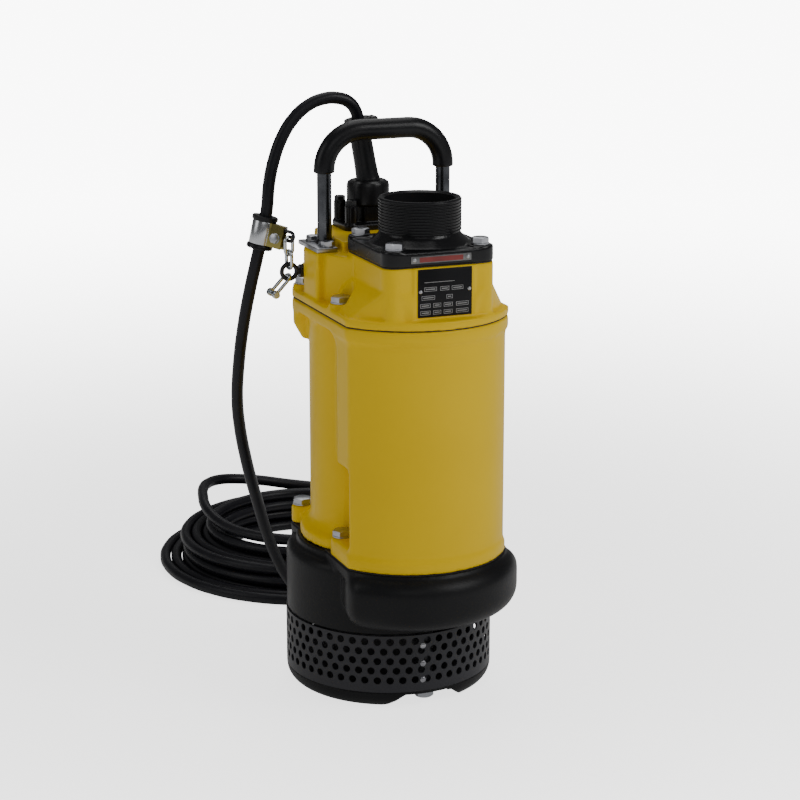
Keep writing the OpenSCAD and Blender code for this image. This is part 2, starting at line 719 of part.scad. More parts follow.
// Rubber boot: an upright root in the cap, and a long neck that leans with the cable
module boot_place() { gland_place() translate([0, 0, cap_z + cap_h]) rotate([0, -boot_lean, 0]) children(); }
module cable_boot() {
    color("#141415") difference() {
        union() {
            gland_place() cylinder_between(cap_z + 1, cap_z + cap_h, boot_root_r);
            boot_place() translate([0, 0, -2])
                cylinder(r1 = boot_root_r - 0.4, r2 = boot_tip_r, h = boot_l + 2);
        }
        gland_place() cylinder_between(cap_z, cap_z + cap_h, cable_r + soft_fit);
        boot_place() translate([0, 0, -1.5]) cylinder(r = cable_r + soft_fit, h = boot_l + 3);
    }
}
module boot_clip() {
    color("#17171a") boot_place() translate([0, 0, boot_l - 12]) difference() {
        union() {
            cylinder(r = 15.5, h = 12);
            box([5, -9, 2], [21, 9, 11]);
        }
        translate([0, 0, -1]) cylinder(r = boot_tip_r + 0.3, h = 20);
    }
}
// The cable inside the gland and the boot, bent by the boot's lean
module inner_cable() {
    color("#121213") {
        gland_place() cylinder_between(box_top - 10, cap_z + cap_h, cable_r);
        gland_place() translate([0, 0, cap_z + cap_h]) sphere(r = cable_r + 0.2);
        boot_place() cylinder_between(0, boot_l - 0.2, cable_r);
    }
}

/* ---- Free cable ---- */

// Tube of given sides round a path of points, closed at both ends
function unit(v) = v / norm(v);
function tangent(p, i) = unit(p[min(i + 1, len(p) - 1)] - p[max(i - 1, 0)]);
function carried(p, start) =
    [for (i = 0, u = start; i < len(p); i = i + 1,
          u = i < len(p) ? unit(u - (u * tangent(p, i)) * tangent(p, i)) : u) u];
module tube(p, r, sides, start) {
    side = carried(p, unit(start - (start * tangent(p, 0)) * tangent(p, 0)));
    n = len(p);
    points = [for (i = [0:n - 1], k = [0:sides - 1])
        let (a = 360 * (k + 0.5) / sides, t = tangent(p, i))
        p[i] + r * (cos(a) * side[i] + sin(a) * cross(t, side[i]))];
    walls = [for (i = [0:n - 2], k = [0:sides - 1])
        let (a = i * sides + k, b = i * sides + (k + 1) % sides)
        each [[a, a + sides, b], [b, a + sides, b + sides]]];
    ends = [for (k = [1:sides - 2])
        each [[0, k, k + 1], [(n - 1) * sides, (n - 1) * sides + k + 1, (n - 1) * sides + k]]];
    polyhedron(points = points, faces = concat(walls, ends), convexity = 10);
}

// Route of the cable from the boot over to the clamp and down to the coil
RUN = [
    [-10.8, 60, 626], [-13.2, 60, 639.8], [-21, 60, 651.5], [-36, 60, 657.5], [-54, 60, 657],
    [-71, 60, 650.5], [-87, 60, 637.5], [-100, 60, 619], [-110, 60, 595], [-116.5, 60, 568],
    [-119.9, 60, 537], [-129.9, 62, 490],
    [-137, 70, 450], [-142, 83, 403], [-143, 99, 355], [-140, 116, 310], [-132, 132, 270],
    [-121, 148, 232], [-109, 164, 197], [-95, 181, 160], [-80, 198, 120], [-64, 211, 83],
    [-46, 220, 50], [-26, 223, 25], [-6, 222, 11], [16, 221, 7], [44, 221, 7]];

/* The coil: four layers, each turn a pitch beside the last */
coil_c = [58, 425];
coil_start = -90;
coil_pitch = 14.6;
coil_r = [204, 120, 172, 120, 141.3];
coil_rings = 24;
function leg(i) = abs(coil_r[i + 1] - coil_r[i]) / coil_pitch;
function before(i) = i == 0 ? 0 : before(i - 1) + leg(i - 1);
coil_turns = before(4);
function which(t) = t < before(1) ? 0 : t < before(2) ? 1 : t < before(3) ? 2 : 3;
function coil_radius(t) =
    let (i = which(t)) coil_r[i] + sign(coil_r[i + 1] - coil_r[i]) * coil_pitch * (t - before(i));
function step_up(x) = let (c = min(1, max(0, x))) c * c * (3 - 2 * c);
function coil_z(t) = cable_r + coil_pitch * (step_up(2 * (t - before(1)) + 0.5)
    + step_up(2 * (t - before(2)) + 0.5) + step_up(2 * (t - before(3)) + 0.5));
function coil_point(t) =
    let (a = coil_start + 360 * t, r = coil_radius(t))
        [coil_c[0] + r * cos(a), coil_c[1] + r * sin(a), coil_z(t)];
cable_r = cable_d / 2;
coil_steps = floor(coil_turns * coil_rings);
function heading(t) = let (a = coil_start + 360 * t) [-sin(a), cos(a), 0];
coil_end = coil_steps / coil_rings;
COIL = concat([coil_point(0) - cable_d * heading(0)],
              [for (i = [0:coil_steps]) coil_point(i / coil_rings)],
              [coil_point(coil_end) + cable_d * heading(coil_end)]);
coil_gap = min([for (i = [0:coil_steps]) min([for (j = [i + 12:coil_steps + 12])
    norm(COIL[i] - COIL[min(j, coil_steps + 2)])])]) - cable_d;
echo(coil_gap = coil_gap, coil_turns = coil_turns, coil_ends = [COIL[0], COIL[coil_steps + 2]]);

module supply_cable() { color("#121213") tube(RUN, cable_r, 10, [0, 1, 0]); }
module cable_coil() { color("#121213") tube(COIL, cable_r, 6, [0, 0, 1]); }

// Route of the last turn, which springs up from the coil, lies back on it and ends bare
TAIL = [
    [173.3, 507.8, 50.8], [160, 530.9, 50.8], [136, 549.7, 52], [106.8, 566.8, 54], [73.9, 576.2, 59],
    [38.7, 581.8, 66], [6.4, 583.8, 71], [-22.3, 576, 75], [-44.8, 556.6, 77], [-58.7, 530, 78],
    [-68.4, 498, 78], [-75.1, 468.3, 76], [-76.3, 439, 72], [-72, 409, 68], [-63.2, 381, 66],
    [-48.9, 353, 65.6], [-28.3, 329, 65.6], [-2.6, 311, 65.6], [22, 301, 65.6], [44, 297, 65.6],
    [72, 296.5, 65.6]];
core_l = 26;
module cable_tail() { color("#121213") tube(TAIL, cable_r, 8, [0, 0, 1]); }
module cable_cores() {
    color("#b9472f") for (a = [45:90:315]) translate(TAIL[len(TAIL) - 1]) rotate([a, 0, 0])
        translate([0.4, 3, 0]) rotate([0, 90, 0]) cylinder(r = 1.8, h = core_l, $fn = 16);
}

/* ---- Clamp and chain ---- */

// The clamp's own frame: its axis follows the cable, and its ears point at the pump
clamp_c = (RUN[10] + RUN[11]) / 2;
clamp_z = unit(RUN[10] - RUN[11]);
ear_way = [0.596, -0.803, 0];
clamp_x = unit(ear_way - (ear_way * clamp_z) * clamp_z);
clamp_y = cross(clamp_z, clamp_x);
module clamp_place() {
    multmatrix([for (i = [0:2]) [clamp_x[i], clamp_y[i], clamp_z[i], clamp_c[i]]]) children();
}
function clamp_point(u, w) = clamp_c + u * clamp_x + w * clamp_z;
ear_gap = chain_wire + 0.4;
ear_l = 29.5;
ear_bolt = [21, -2];
hook_r = 5;
hook_u = 36.5;
hook_w = 9;
wire_r = chain_wire / 2;

module clamp_sleeve() {
    color("#161617") clamp_place() difference() {
        union() {
            cylinder_between(-sleeve_l / 2, sleeve_l / 2, sleeve_d / 2);
            for (s = [-1, 1]) translate([0, 0, s * (sleeve_l - 5) / 2])
                cylinder(d = sleeve_rim_d, h = 5, center = true);
        }
        cylinder(r = cable_r + soft_fit, h = sleeve_l + 2, center = true);
    }
}
module clamp_band() {
    r = sleeve_d / 2 + 0.05;
    color("#9aa0a4") clamp_place() difference() {
        union() {
            translate([0, 0, -band_w / 2]) ring(r + band_t, r, band_w);
            for (s = [-1, 1]) box([r + 0.5, s * ear_gap / 2 + min(0, s * band_t), 1 - band_w / 2],
                                  [ear_l, s * ear_gap / 2 + max(0, s * band_t), band_w / 2 - 1]);
        }
        box([0, -ear_gap / 2, -band_w], [ear_l + 1, ear_gap / 2, band_w]);
        translate([ear_bolt[0], 0, ear_bolt[1]]) rotate([90, 0, 0]) cylinder(r = 3.2, h = 20, center = true);
    }
}
module clamp_bolt() {
    seat = ear_gap / 2 + band_t;
    color("#c6cacd") clamp_place() translate([ear_bolt[0], 0, ear_bolt[1]]) rotate([90, 0, 0]) {
        cylinder(r = 3, h = 2 * seat + 12, center = true);
        translate([0, 0, seat]) cylinder(d = 10 / cos(30), h = 4, $fn = 6);
        translate([0, 0, -seat - 5]) cylinder(d = 10 / cos(30), h = 5, $fn = 6);
    }
}
// Wire hook: a shank held between the ears, and a bend that carries the chain
module chain_hook() {
    color("#232325") clamp_place() {
        translate([17, 0, hook_w]) rotate([0, 90, 0]) cylinder(r = wire_r, h = hook_u - 17);
        translate([hook_u, 0, hook_w - hook_r]) rotate([90, 0, 0]) rotate([0, 0, -150])
            rotate_extrude(angle = 240) translate([hook_r, 0]) circle(r = wire_r, $fn = 24);
    }
}
// Oval chain link, hanging from its upper bend's wire centre
link_bend = 5.5;
link_play = 0.3;
hook_play = 0.65;
chain_top = clamp_point(hook_u, hook_w - 2 * hook_r);
eye_r_mean = 8.5;
eye_c = [-104.4, 31.6, 473];
chain_bottom = eye_c[2] + eye_r_mean - eye_wire / 2 - wire_r - 0.5;
link_l = (chain_top[2] - chain_bottom + hook_play + link_play) / 2 + chain_wire;
module oval_link() {
    straight = link_l - 2 * link_bend;
    for (s = [0, 1]) rotate([0, 180 * s, 0]) translate([0, 0, straight / 2]) {
        rotate([90, 0, 0]) rotate_extrude(angle = 180) translate([link_bend, 0]) circle(r = wire_r, $fn = 24);
        translate([link_bend, 0, -straight]) cylinder(r = wire_r, h = straight, $fn = 24);
    }
}
module hang_link(top, turn) {
    translate([chain_top[0], chain_top[1], top - link_l / 2]) rotate(turn) oval_link();
}
upper_top = chain_top[2] + chain_wire + hook_play;
lower_top = upper_top - link_l + chain_wire + link_play;
echo(chain_top = chain_top, link_l = link_l, upper_top = upper_top, lower_top = lower_top);
module chain_link_upper() { color("#b4b8bc") hang_link(upper_top, 23.5); }
module chain_link_lower() { color("#b4b8bc") hang_link(lower_top, 101.8); }

// Eye bolt in the cover's left side, with its lock nut
boss_x = 88.5;
eye_shank_r = 4;
module eye_place() { translate(eye_c) children(); }
module eye_bolt() {
    face = -boss_x - eye_c[0];
    color("#2c2d30") eye_place() {
        rotate([90, 0, 0]) rotate_extrude() translate([eye_r_mean, 0]) circle(d = eye_wire, $fn = 32);
        translate([eye_r_mean, 0, 0]) rotate([0, 90, 0])
            cylinder(r = eye_shank_r - 0.3, h = face - eye_r_mean + 13);
        translate([face - 4.5, 0, 0]) rotate([0, 90, 0]) cylinder(d = 13 / cos(30), h = 4.5, $fn = 6);
    }
}
// Shackle, hooked in the eye and swung out sideways
shackle_lean = 44;
shackle_l = 27;
shackle_ear = 8.8;
bow_top = eye_c - [0, 0, eye_r_mean - eye_wire / 2 - wire_r - link_play];
module shackle_place() { translate(bow_top) rotate([0, shackle_lean, 0]) children(); }
module shackle_bow() {
    color("#b9bdc0") shackle_place() difference() {
        union() {
            translate([0, 0, -eye_r_mean]) rotate([90, 0, 90]) rotate_extrude(angle = 180)
                translate([eye_r_mean, 0]) circle(r = wire_r, $fn = 24);
            for (s = [-1, 1]) translate([0, s * eye_r_mean, -shackle_l]) {
                cylinder(r = wire_r, h = shackle_l - eye_r_mean);
                rotate([90, 0, 0]) cylinder(d = shackle_ear, h = chain_wire, center = true);
            }
        }
        translate([0, 0, -shackle_l]) rotate([90, 0, 0]) cylinder(r = 2.3, h = 40, center = true);
    }
}
module shackle_pin() {
    color("#b9bdc0") shackle_place() translate([0, 0, -shackle_l]) rotate([90, 0, 0]) {
        cylinder(r = 2.2, h = 2 * eye_r_mean + 6, center = true);
        translate([0, 0, eye_r_mean + wire_r]) cylinder(r = 3.4, h = 3);
    }
}

/* ---- Motor ---- */

module stator_core() {
    color("#8d9096") translate([0, 0, stack_z]) ring(bore_r - fit, rotor_r + air_gap, stack_l);
}
module end_windings() {
    color("#a8552a") for (z = [stack_z - 18, stack_z + stack_l]) translate([0, 0, z])
        ring(bore_r - 6, rotor_r + 6, 18);
}
module rotor_core() {
    color("#85888d") translate([0, 0, stack_z]) difference() {
        union() {
            cylinder(r = rotor_r, h = stack_l);
            cylinder_between(-8, stack_l + 8, rotor_r - 4);
        }
        cylinder_between(-9, stack_l + 9, shaft_r + 0.05);
    }
}
bracket_hub_z = bracket_z - 7;
module upper_bracket() {
    color("#6f7276") difference() {
        union() {
            cylinder_between(bracket_z, bracket_z + bracket_t, bore_r + 2.5 - fit);
            cylinder_between(bracket_hub_z, bracket_hub_z + upper_bearing[2] + 4, upper_bearing[1] + 6);
        }
        cylinder_between(bracket_hub_z - 1, bracket_hub_z + upper_bearing[2], upper_bearing[1] + 0.01);
        cylinder_between(bracket_hub_z, bracket_hub_z + 40, upper_bearing[0] + 4);
        translate([0, gland_y, 0]) cylinder_between(bracket_z - 1, bracket_z + 20, 8);
    }
}
module motor_protector() {
    color("#d8d4c6") translate([50, 0, bracket_z + bracket_t]) cylinder(r = 12, h = 14);
}

module motor_shaft() {
    color("#b3b6ba") {
        cylinder_between(nut_z + 3, hub_z, 9);
        cylinder_between(hub_z, oil_floor_z, hub_bore_r);
        cylinder_between(oil_floor_z, oil_top, sleeve_r);
        cylinder_between(oil_top, stack_z - 10, lower_bearing[0] - 0.02);
        cylinder_between(stack_z - 10, stack_z + stack_l + 9, shaft_r);
        cylinder_between(stack_z + stack_l + 9, bracket_hub_z + upper_bearing[2], upper_bearing[0] - 0.02);
    }
}
module bearing_outer_rings() {
    color("#c3c6ca") both_bearings(0) ring($b[1], $b[5], $b[2]);
}
module bearing_inner_rings() {
    color("#cfd2d6") both_bearings(0) ring($b[4], $b[0], $b[2]);
}
module both_bearings(z) {
    translate([0, 0, web_top - lower_bearing[2] + z]) { $b = lower_bearing; children(); }
    translate([0, 0, bracket_hub_z + z]) { $b = upper_bearing; children(); }
}
module balls(b, z, n) {
    for (i = [0:n - 1]) rotate(i * 360 / n) translate([(b[4] + b[5]) / 2, 0, z + b[2] / 2])
        sphere(r = b[3], $fn = 32);
}
module upper_balls() { color("#dfe1e4") balls(upper_bearing, bracket_hub_z, 9); }
module lower_balls() { color("#dfe1e4") balls(lower_bearing, web_top - lower_bearing[2], 9); }

// Double mechanical seal: fixed seats in the oil casing, turning faces pressed apart
seal_seat_r = 22;
seat_t = 8;
face_t = 6;
sleeve_r = 14;
oil_floor_z = volute_top;
seal_low = volute_top + oil_floor_t;
seal_high = oil_top - oil_lid_t;
module seal_seats() {
    color("#55565a") {
        translate([0, 0, seal_low - seat_t]) ring(seal_seat_r - fit, sleeve_r + 0.5, seat_t);
        translate([0, 0, seal_high]) ring(seal_seat_r - fit, sleeve_r + 0.5, seat_t);
    }
}
module seal_faces() {
    color("#96999e") {
        translate([0, 0, seal_low + fit]) ring(seal_seat_r - 1, sleeve_r + 0.05, face_t);
        translate([0, 0, seal_high - face_t - fit]) ring(seal_seat_r - 1, sleeve_r + 0.05, face_t);
    }
}
spring_turns = 4;
module seal_spring() {
    wire = 1.2;
    low = seal_low + face_t + fit + wire + 0.1;
    high = seal_high - face_t - fit - wire - 0.1;
    color("#b5b8bc") tube([for (i = [0:spring_turns * 12]) let (a = i * 30)
        [18 * cos(a), 18 * sin(a), low + (high - low) * i / (spring_turns * 12)]], wire, 6, [0, 0, 1]);
}

/* ---- Impeller ---- */

hub_r = 20;
hub_bore_r = 12;
hub_z = cover_face_z + 8;
nut_z = hub_z - 14;
impeller_top = volute_top - 2;
vane_root_r = 16;
vane_sweep = 80;
// Side of a vane: radius grows evenly as the vane sweeps back
function vane_side(s) = [for (i = [0:10]) let (r = vane_root_r + (impeller_r - 1 - vane_root_r) * i / 10,
    a = vane_sweep * pow(i / 10, 0.8) + s * asin(vane_t / 2 / r)) r * [cos(a), sin(a)]];
function backwards(v) = [for (i = [len(v) - 1:-1:0]) v[i]];
module impeller() {
    color("#6b6258") difference() {
        union() {
            cylinder_between(impeller_top - shroud_t, impeller_top, impeller_r);
            cylinder_between(hub_z, impeller_top - 1, hub_r);
            for (i = [0:vanes - 1]) rotate(i * 360 / vanes)
                slab(concat(vane_side(1), backwards(vane_side(-1))),
                     cover_face_z + vane_gap, impeller_top - 1);
        }
        cylinder_between(cover_face_z, impeller_top + 1, hub_bore_r + 0.05);
        cylinder_between(cover_face_z, hub_z, hub_r - 2);
    }
}
module impeller_nut() {
    color("#c0a25a") difference() {
        union() {
            translate([0, 0, nut_z]) cylinder(d = 27 / cos(30), h = hub_z - nut_z, $fn = 6);
            translate([0, 0, nut_z - 4]) cylinder(r1 = 8, r2 = 13, h = 4);
        }
        cylinder_between(nut_z + 3, hub_z + 1, 9.05);
    }
}

strainer_base();
strainer_screen();
stay_bolts();
stay_tubes();
suction_cover();
pump_casing();
casing_gasket();
oil_casing();
oil_casing_lid();
oil_plug();
motor_frame();
frame_bolts();
top_cover();
cover_gasket();
cover_bolts();
discharge_flange();
flange_gasket();
flange_bolts();
flange_strip();
nameplate();
rivets();
lift_handle();
handle_grip();
handle_bolts();
gland_body();
gland_bolts();
gland_cap();
gland_bush();
cable_boot();
boot_clip();
inner_cable();
supply_cable();
cable_coil();
cable_tail();
cable_cores();
clamp_sleeve();
clamp_band();
clamp_bolt();
chain_hook();
chain_link_upper();
chain_link_lower();
eye_bolt();
shackle_bow();
shackle_pin();
stator_core();
end_windings();
motor_protector();
upper_bracket();
rotor_core();
motor_shaft();
bearing_outer_rings();
bearing_inner_rings();
upper_balls();
lower_balls();
seal_seats();
seal_faces();
seal_spring();
impeller();
impeller_nut();
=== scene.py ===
from math import asin, atan2, cos, degrees, pi, radians, sin, sqrt

import bmesh
import bpy
from mathutils import Matrix, Vector


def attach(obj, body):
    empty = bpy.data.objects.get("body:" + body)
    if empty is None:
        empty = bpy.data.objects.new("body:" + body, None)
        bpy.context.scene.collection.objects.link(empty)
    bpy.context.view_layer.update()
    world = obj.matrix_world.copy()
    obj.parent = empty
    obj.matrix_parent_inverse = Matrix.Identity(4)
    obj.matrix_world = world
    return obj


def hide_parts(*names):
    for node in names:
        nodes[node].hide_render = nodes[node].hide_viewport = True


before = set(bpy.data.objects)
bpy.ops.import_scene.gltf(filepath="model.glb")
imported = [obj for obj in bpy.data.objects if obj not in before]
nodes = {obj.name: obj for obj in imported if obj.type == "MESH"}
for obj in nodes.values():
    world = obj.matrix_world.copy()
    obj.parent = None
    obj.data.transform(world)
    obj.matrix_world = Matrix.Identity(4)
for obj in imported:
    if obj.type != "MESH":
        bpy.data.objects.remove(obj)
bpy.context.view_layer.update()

MM = 0.001

# ---------------------------------------------------------------------------
# Camera: a long lens from the front left, a little above the handle, so that
# the nameplate, the left side and the coil behind the pump all show.
camera_data = bpy.data.cameras.new("camera")
camera_data.lens = 100.8
camera_data.sensor_width = 36.0
camera_data.clip_end = 50.0
camera = bpy.data.objects.new("camera", camera_data)
camera.location = (-0.899, -2.261, 0.9535)
camera.rotation_euler = (radians(75.5), 0.0, radians(-22.0))
bpy.context.scene.collection.objects.link(camera)
bpy.context.scene.camera = camera

# ---------------------------------------------------------------------------
# Supply cable: a four-core rubber cable, 14 mm thick. It leaves the boot, goes
# over in an arch, down through the clamp, and lies behind the pump in a coil
# of four layers, whose last turn springs up and ends bare.
CABLE_D = 14 * MM
# The free run and the loose last turn are listed point by point, in millimetres
RUN = [
    (-10.8, 60, 626), (-13.2, 60, 639.8), (-21, 60, 651.5), (-36, 60, 657.5), (-54, 60, 657),
    (-71, 60, 650.5), (-87, 60, 637.5), (-100, 60, 619), (-110, 60, 595), (-116.5, 60, 568),
    (-119.9, 60, 537), (-129.9, 62, 490),
    (-137, 70, 450), (-142, 83, 403), (-143, 99, 355), (-140, 116, 310), (-132, 132, 270),
    (-121, 148, 232), (-109, 164, 197), (-95, 181, 160), (-80, 198, 120), (-64, 211, 83),
    (-46, 220, 50), (-26, 223, 25), (-6, 222, 11), (16, 221, 7), (44, 221, 7)]
TAIL = [
    (173.3, 507.8, 50.8), (160, 530.9, 50.8), (136, 549.7, 52), (106.8, 566.8, 54), (73.9, 576.2, 59),
    (38.7, 581.8, 66), (6.4, 583.8, 71), (-22.3, 576, 75), (-44.8, 556.6, 77), (-58.7, 530, 78),
    (-68.4, 498, 78), (-75.1, 468.3, 76), (-76.3, 439, 72), (-72, 409, 68), (-63.2, 381, 66),
    (-48.9, 353, 65.6), (-28.3, 329, 65.6), (-2.6, 311, 65.6), (22, 301, 65.6), (44, 297, 65.6),
    (72, 296.5, 65.6)]
COIL_CENTRE = (58, 425)
COIL_RADII = (204, 120, 172, 120, 141.3)
COIL_PITCH = 14.6
COIL_START = -90
TURN_POINTS = 24


def ease(x):
    x = min(1.0, max(0.0, x))
    return x * x * (3 - 2 * x)


def coil_points():
    # Each layer winds flat from one radius to the next, and ends counts the turns to where each is full
    ends = [0.0]
    for near, far in zip(COIL_RADII, COIL_RADII[1:]):
        ends.append(ends[-1] + abs(far - near) / COIL_PITCH)
    points = []
    for step in range(int(ends[-1] * TURN_POINTS) + 1):
        t = step / TURN_POINTS
        layer = sum(t >= end for end in ends[1:-1])
        way = 1 if COIL_RADII[layer + 1] > COIL_RADII[layer] else -1
        r = COIL_RADII[layer] + way * COIL_PITCH * (t - ends[layer])
        # half a turn lifts the cable from one layer to the next
        z = CABLE_D / MM / 2 + COIL_PITCH * sum(ease(2 * (t - end) + 0.5) for end in ends[1:-1])
        a = radians(COIL_START + 360 * t)
        points.append((COIL_CENTRE[0] + r * cos(a), COIL_CENTRE[1] + r * sin(a), z))
    return points


def cable_curve(name, points, diameter):
    # A bevel depth of 1 leaves the thickness to each knot's radius
    data = bpy.data.curves.new(name, "CURVE")
    data.dimensions = "3D"
    data.bevel_depth = 1
    data.bevel_resolution = 4
    data.resolution_u = 4
    data.use_fill_caps = True
    line = data.splines.new("BEZIER")
    line.bezier_points.add(len(points) - 1)
    for knot, point in zip(line.bezier_points, points):
        knot.co = Vector(point) * MM
        knot.radius = diameter / 2
        knot.handle_left_type = knot.handle_right_type = "AUTO"
    made = bpy.data.objects.new(name, data)
    bpy.context.scene.collection.objects.link(made)
    return made


cable = cable_curve("supply_cable_run", RUN + coil_points() + TAIL, CABLE_D)
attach(cable, "pump")
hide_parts("supply_cable", "cable_coil", "cable_tail")


def skin_group():
    # The surface that all finishes share: patches of a second shade, worn ridges, and a fine grain
    group = bpy.data.node_groups.new("surface_skin", "ShaderNodeTree")
    for name in ("Colour", "Shade", "Edge"):
        group.interface.new_socket(name, in_out="INPUT", socket_type="NodeSocketColor")
    for name in ("Edge Wear", "Roughness", "Rough Spread", "Patch Scale", "Grain Scale", "Grain Depth"):
        group.interface.new_socket(name, in_out="INPUT", socket_type="NodeSocketFloat")
    group.interface.new_socket("Colour", in_out="OUTPUT", socket_type="NodeSocketColor")
    group.interface.new_socket("Roughness", in_out="OUTPUT", socket_type="NodeSocketFloat")
    group.interface.new_socket("Normal", in_out="OUTPUT", socket_type="NodeSocketVector")
    new, link = group.nodes.new, group.links.new
    given = new("NodeGroupInput").outputs
    out = new("NodeGroupOutput").inputs
    where = new("ShaderNodeTexCoord").outputs["Object"]

    def noise(scale, detail):
        texture = new("ShaderNodeTexNoise")
        texture.inputs["Detail"].default_value = detail
        link(where, texture.inputs["Vector"])
        link(given[scale], texture.inputs["Scale"])
        return texture.outputs["Fac"]

    def ramp(value, low, high):
        span = new("ShaderNodeMapRange")
        span.inputs["From Min"].default_value = low
        span.inputs["From Max"].default_value = high
        link(value, span.inputs["Value"])
        return span.outputs["Result"]

    def blend(factor, a, b):
        mix = new("ShaderNodeMix")
        mix.data_type = "RGBA"
        link(factor, mix.inputs["Factor"])
        link(a, mix.inputs["A"])
        link(b, mix.inputs["B"])
        return mix.outputs["Result"]

    patch = noise("Patch Scale", 4)
    grain = noise("Grain Scale", 3)
    ridge = ramp(new("ShaderNodeNewGeometry").outputs["Pointiness"], 0.53, 0.62)
    worn = new("ShaderNodeMath")
    worn.operation = "MULTIPLY"
    link(ridge, worn.inputs[0])
    link(given["Edge Wear"], worn.inputs[1])
    ground = blend(ramp(patch, 0.35, 0.75), given["Colour"], given["Shade"])
    link(blend(worn.outputs[0], ground, given["Edge"]), out["Colour"])
    rough = new("ShaderNodeMath")
    rough.operation = "MULTIPLY_ADD"
    link(patch, rough.inputs[0])
    link(given["Rough Spread"], rough.inputs[1])
    link(given["Roughness"], rough.inputs[2])
    link(rough.outputs[0], out["Roughness"])
    bump = new("ShaderNodeBump")
    bump.inputs["Distance"].default_value = 0.0004
    link(given["Grain Depth"], bump.inputs["Strength"])
    link(grain, bump.inputs["Height"])
    link(bump.outputs["Normal"], out["Normal"])
    return group


surface_skin = skin_group()


def paint(name, colour, shade, roughness, spread=0.1, patch=14, grain=500, depth=0.3, edge=None, wear=0.6,
          metallic=0.0, coat=0.0, coat_rough=0.1, specular=0.5):
    # colour and shade are the two tones of the patches, and edge is the bare tone of worn ridges
    material = bpy.data.materials.new(name)
    material.use_nodes = True
    tree = material.node_tree
    shader = tree.nodes["Principled BSDF"]
    skin = tree.nodes.new("ShaderNodeGroup")
    skin.node_tree = surface_skin
    for key, value in (("Colour", (*colour, 1)), ("Shade", (*shade, 1)), ("Edge", (*(edge or colour), 1)),
                       ("Edge Wear", wear if edge else 0.0), ("Roughness", roughness - spread / 2),
                       ("Rough Spread", spread), ("Patch Scale", patch), ("Grain Scale", grain),
                       ("Grain Depth", depth)):
        skin.inputs[key].default_value = value
    tree.links.new(skin.outputs["Colour"], shader.inputs["Base Color"])
    tree.links.new(skin.outputs["Roughness"], shader.inputs["Roughness"])
    tree.links.new(skin.outputs["Normal"], shader.inputs["Normal"])
    shader.inputs["Metallic"].default_value = metallic
    shader.inputs["Coat Weight"].default_value = coat
    shader.inputs["Coat Roughness"].default_value = coat_rough
    shader.inputs["Specular IOR Level"].default_value = specular
    return material


def coat_nodes(material, *names):
    # Gives its finish to a node that is shown as it is
    for name in names:
        for holder in nodes[name].material_slots:
            holder.material = material


sheath_rubber = paint("sheath_rubber", (0.005, 0.005, 0.008), (0.012, 0.012, 0.016), 0.40, spread=0.18,
                      patch=22, grain=900, depth=0.2, specular=0.28)
cable.data.materials.append(sheath_rubber)
coat_nodes(sheath_rubber, "inner_cable")

# ---------------------------------------------------------------------------
# Floor and lights: a pale floor without a horizon, with painted shade round the pump, a large soft key lamp
# at the front right, four weaker ones round and above the pump, and a pale sky.


def area_lamp(name, place, target, size, watts):
    data = bpy.data.lights.new(name, "AREA")
    data.shape = "RECTANGLE"
    data.size, data.size_y = size
    data.energy = watts
    lamp = bpy.data.objects.new(name, data)
    lamp.location = place
    lamp.rotation_euler = (Vector(target) - Vector(place)).to_track_quat("-Z", "Y").to_euler()
    bpy.context.scene.collection.objects.link(lamp)


def camera_choice(tree, dim, bright):
    # bright to the camera and dim as a light, so that the pump's black parts stay black
    choice = tree.nodes.new("ShaderNodeMapRange")
    choice.inputs["To Min"].default_value = dim
    choice.inputs["To Max"].default_value = bright
    ray = tree.nodes.new("ShaderNodeLightPath").outputs["Is Camera Ray"]
    tree.links.new(ray, choice.inputs["Value"])
    return choice.outputs["Result"]


area_lamp("key", (1.7, -2.0, 2.2), (0, 0, 0.3), (1.4, 1.4), 36)
area_lamp("front", (-0.9, -2.8, 1.9), (0, 0, 0.3), (1.6, 1.2), 7)
area_lamp("left", (-2.4, 0.2, 1.5), (0, 0, 0.35), (1.2, 1.6), 9)
area_lamp("back", (0.9, 2.5, 2.6), (0, 0.1, 0.3), (1.6, 1.4), 11)
area_lamp("top", (0.2, 0.6, 2.8), (0, 0.1, 0.3), (1.6, 1.6), 16)

world = bpy.data.worlds.new("sky")
world.use_nodes = True
sky_tree = world.node_tree
sky = sky_tree.nodes["Background"]
sky.inputs["Color"].default_value = (1, 1, 1, 1)
sky_tree.links.new(camera_choice(sky_tree, 0.12, 9), sky.inputs["Strength"])
bpy.context.scene.world = world

FLOOR_HALF = 12
FLOOR_Y = 6
# where the floor's painted shade round the pump is darkest, in metres along y
PAINTED_SHADE_Y = 0.3
floor_mesh = bpy.data.meshes.new("floor")
bm = bmesh.new()
bmesh.ops.create_grid(bm, x_segments=1, y_segments=1, size=FLOOR_HALF)
bm.to_mesh(floor_mesh)
bm.free()
floor = bpy.data.objects.new("floor", floor_mesh)
floor.location = (0, FLOOR_Y, -0.5 * MM)
bpy.context.scene.collection.objects.link(floor)
floor_paint = bpy.data.materials.new("floor_paint")
floor_paint.use_nodes = True
floor_tree = floor_paint.node_tree
floor_shader = floor_tree.nodes["Principled BSDF"]
floor_shader.inputs["Base Color"].default_value = (0.9, 0.9, 0.9, 1)
floor_shader.inputs["Roughness"].default_value = 0.8
floor_shader.inputs["Emission Color"].default_value = (1, 1, 1, 1)
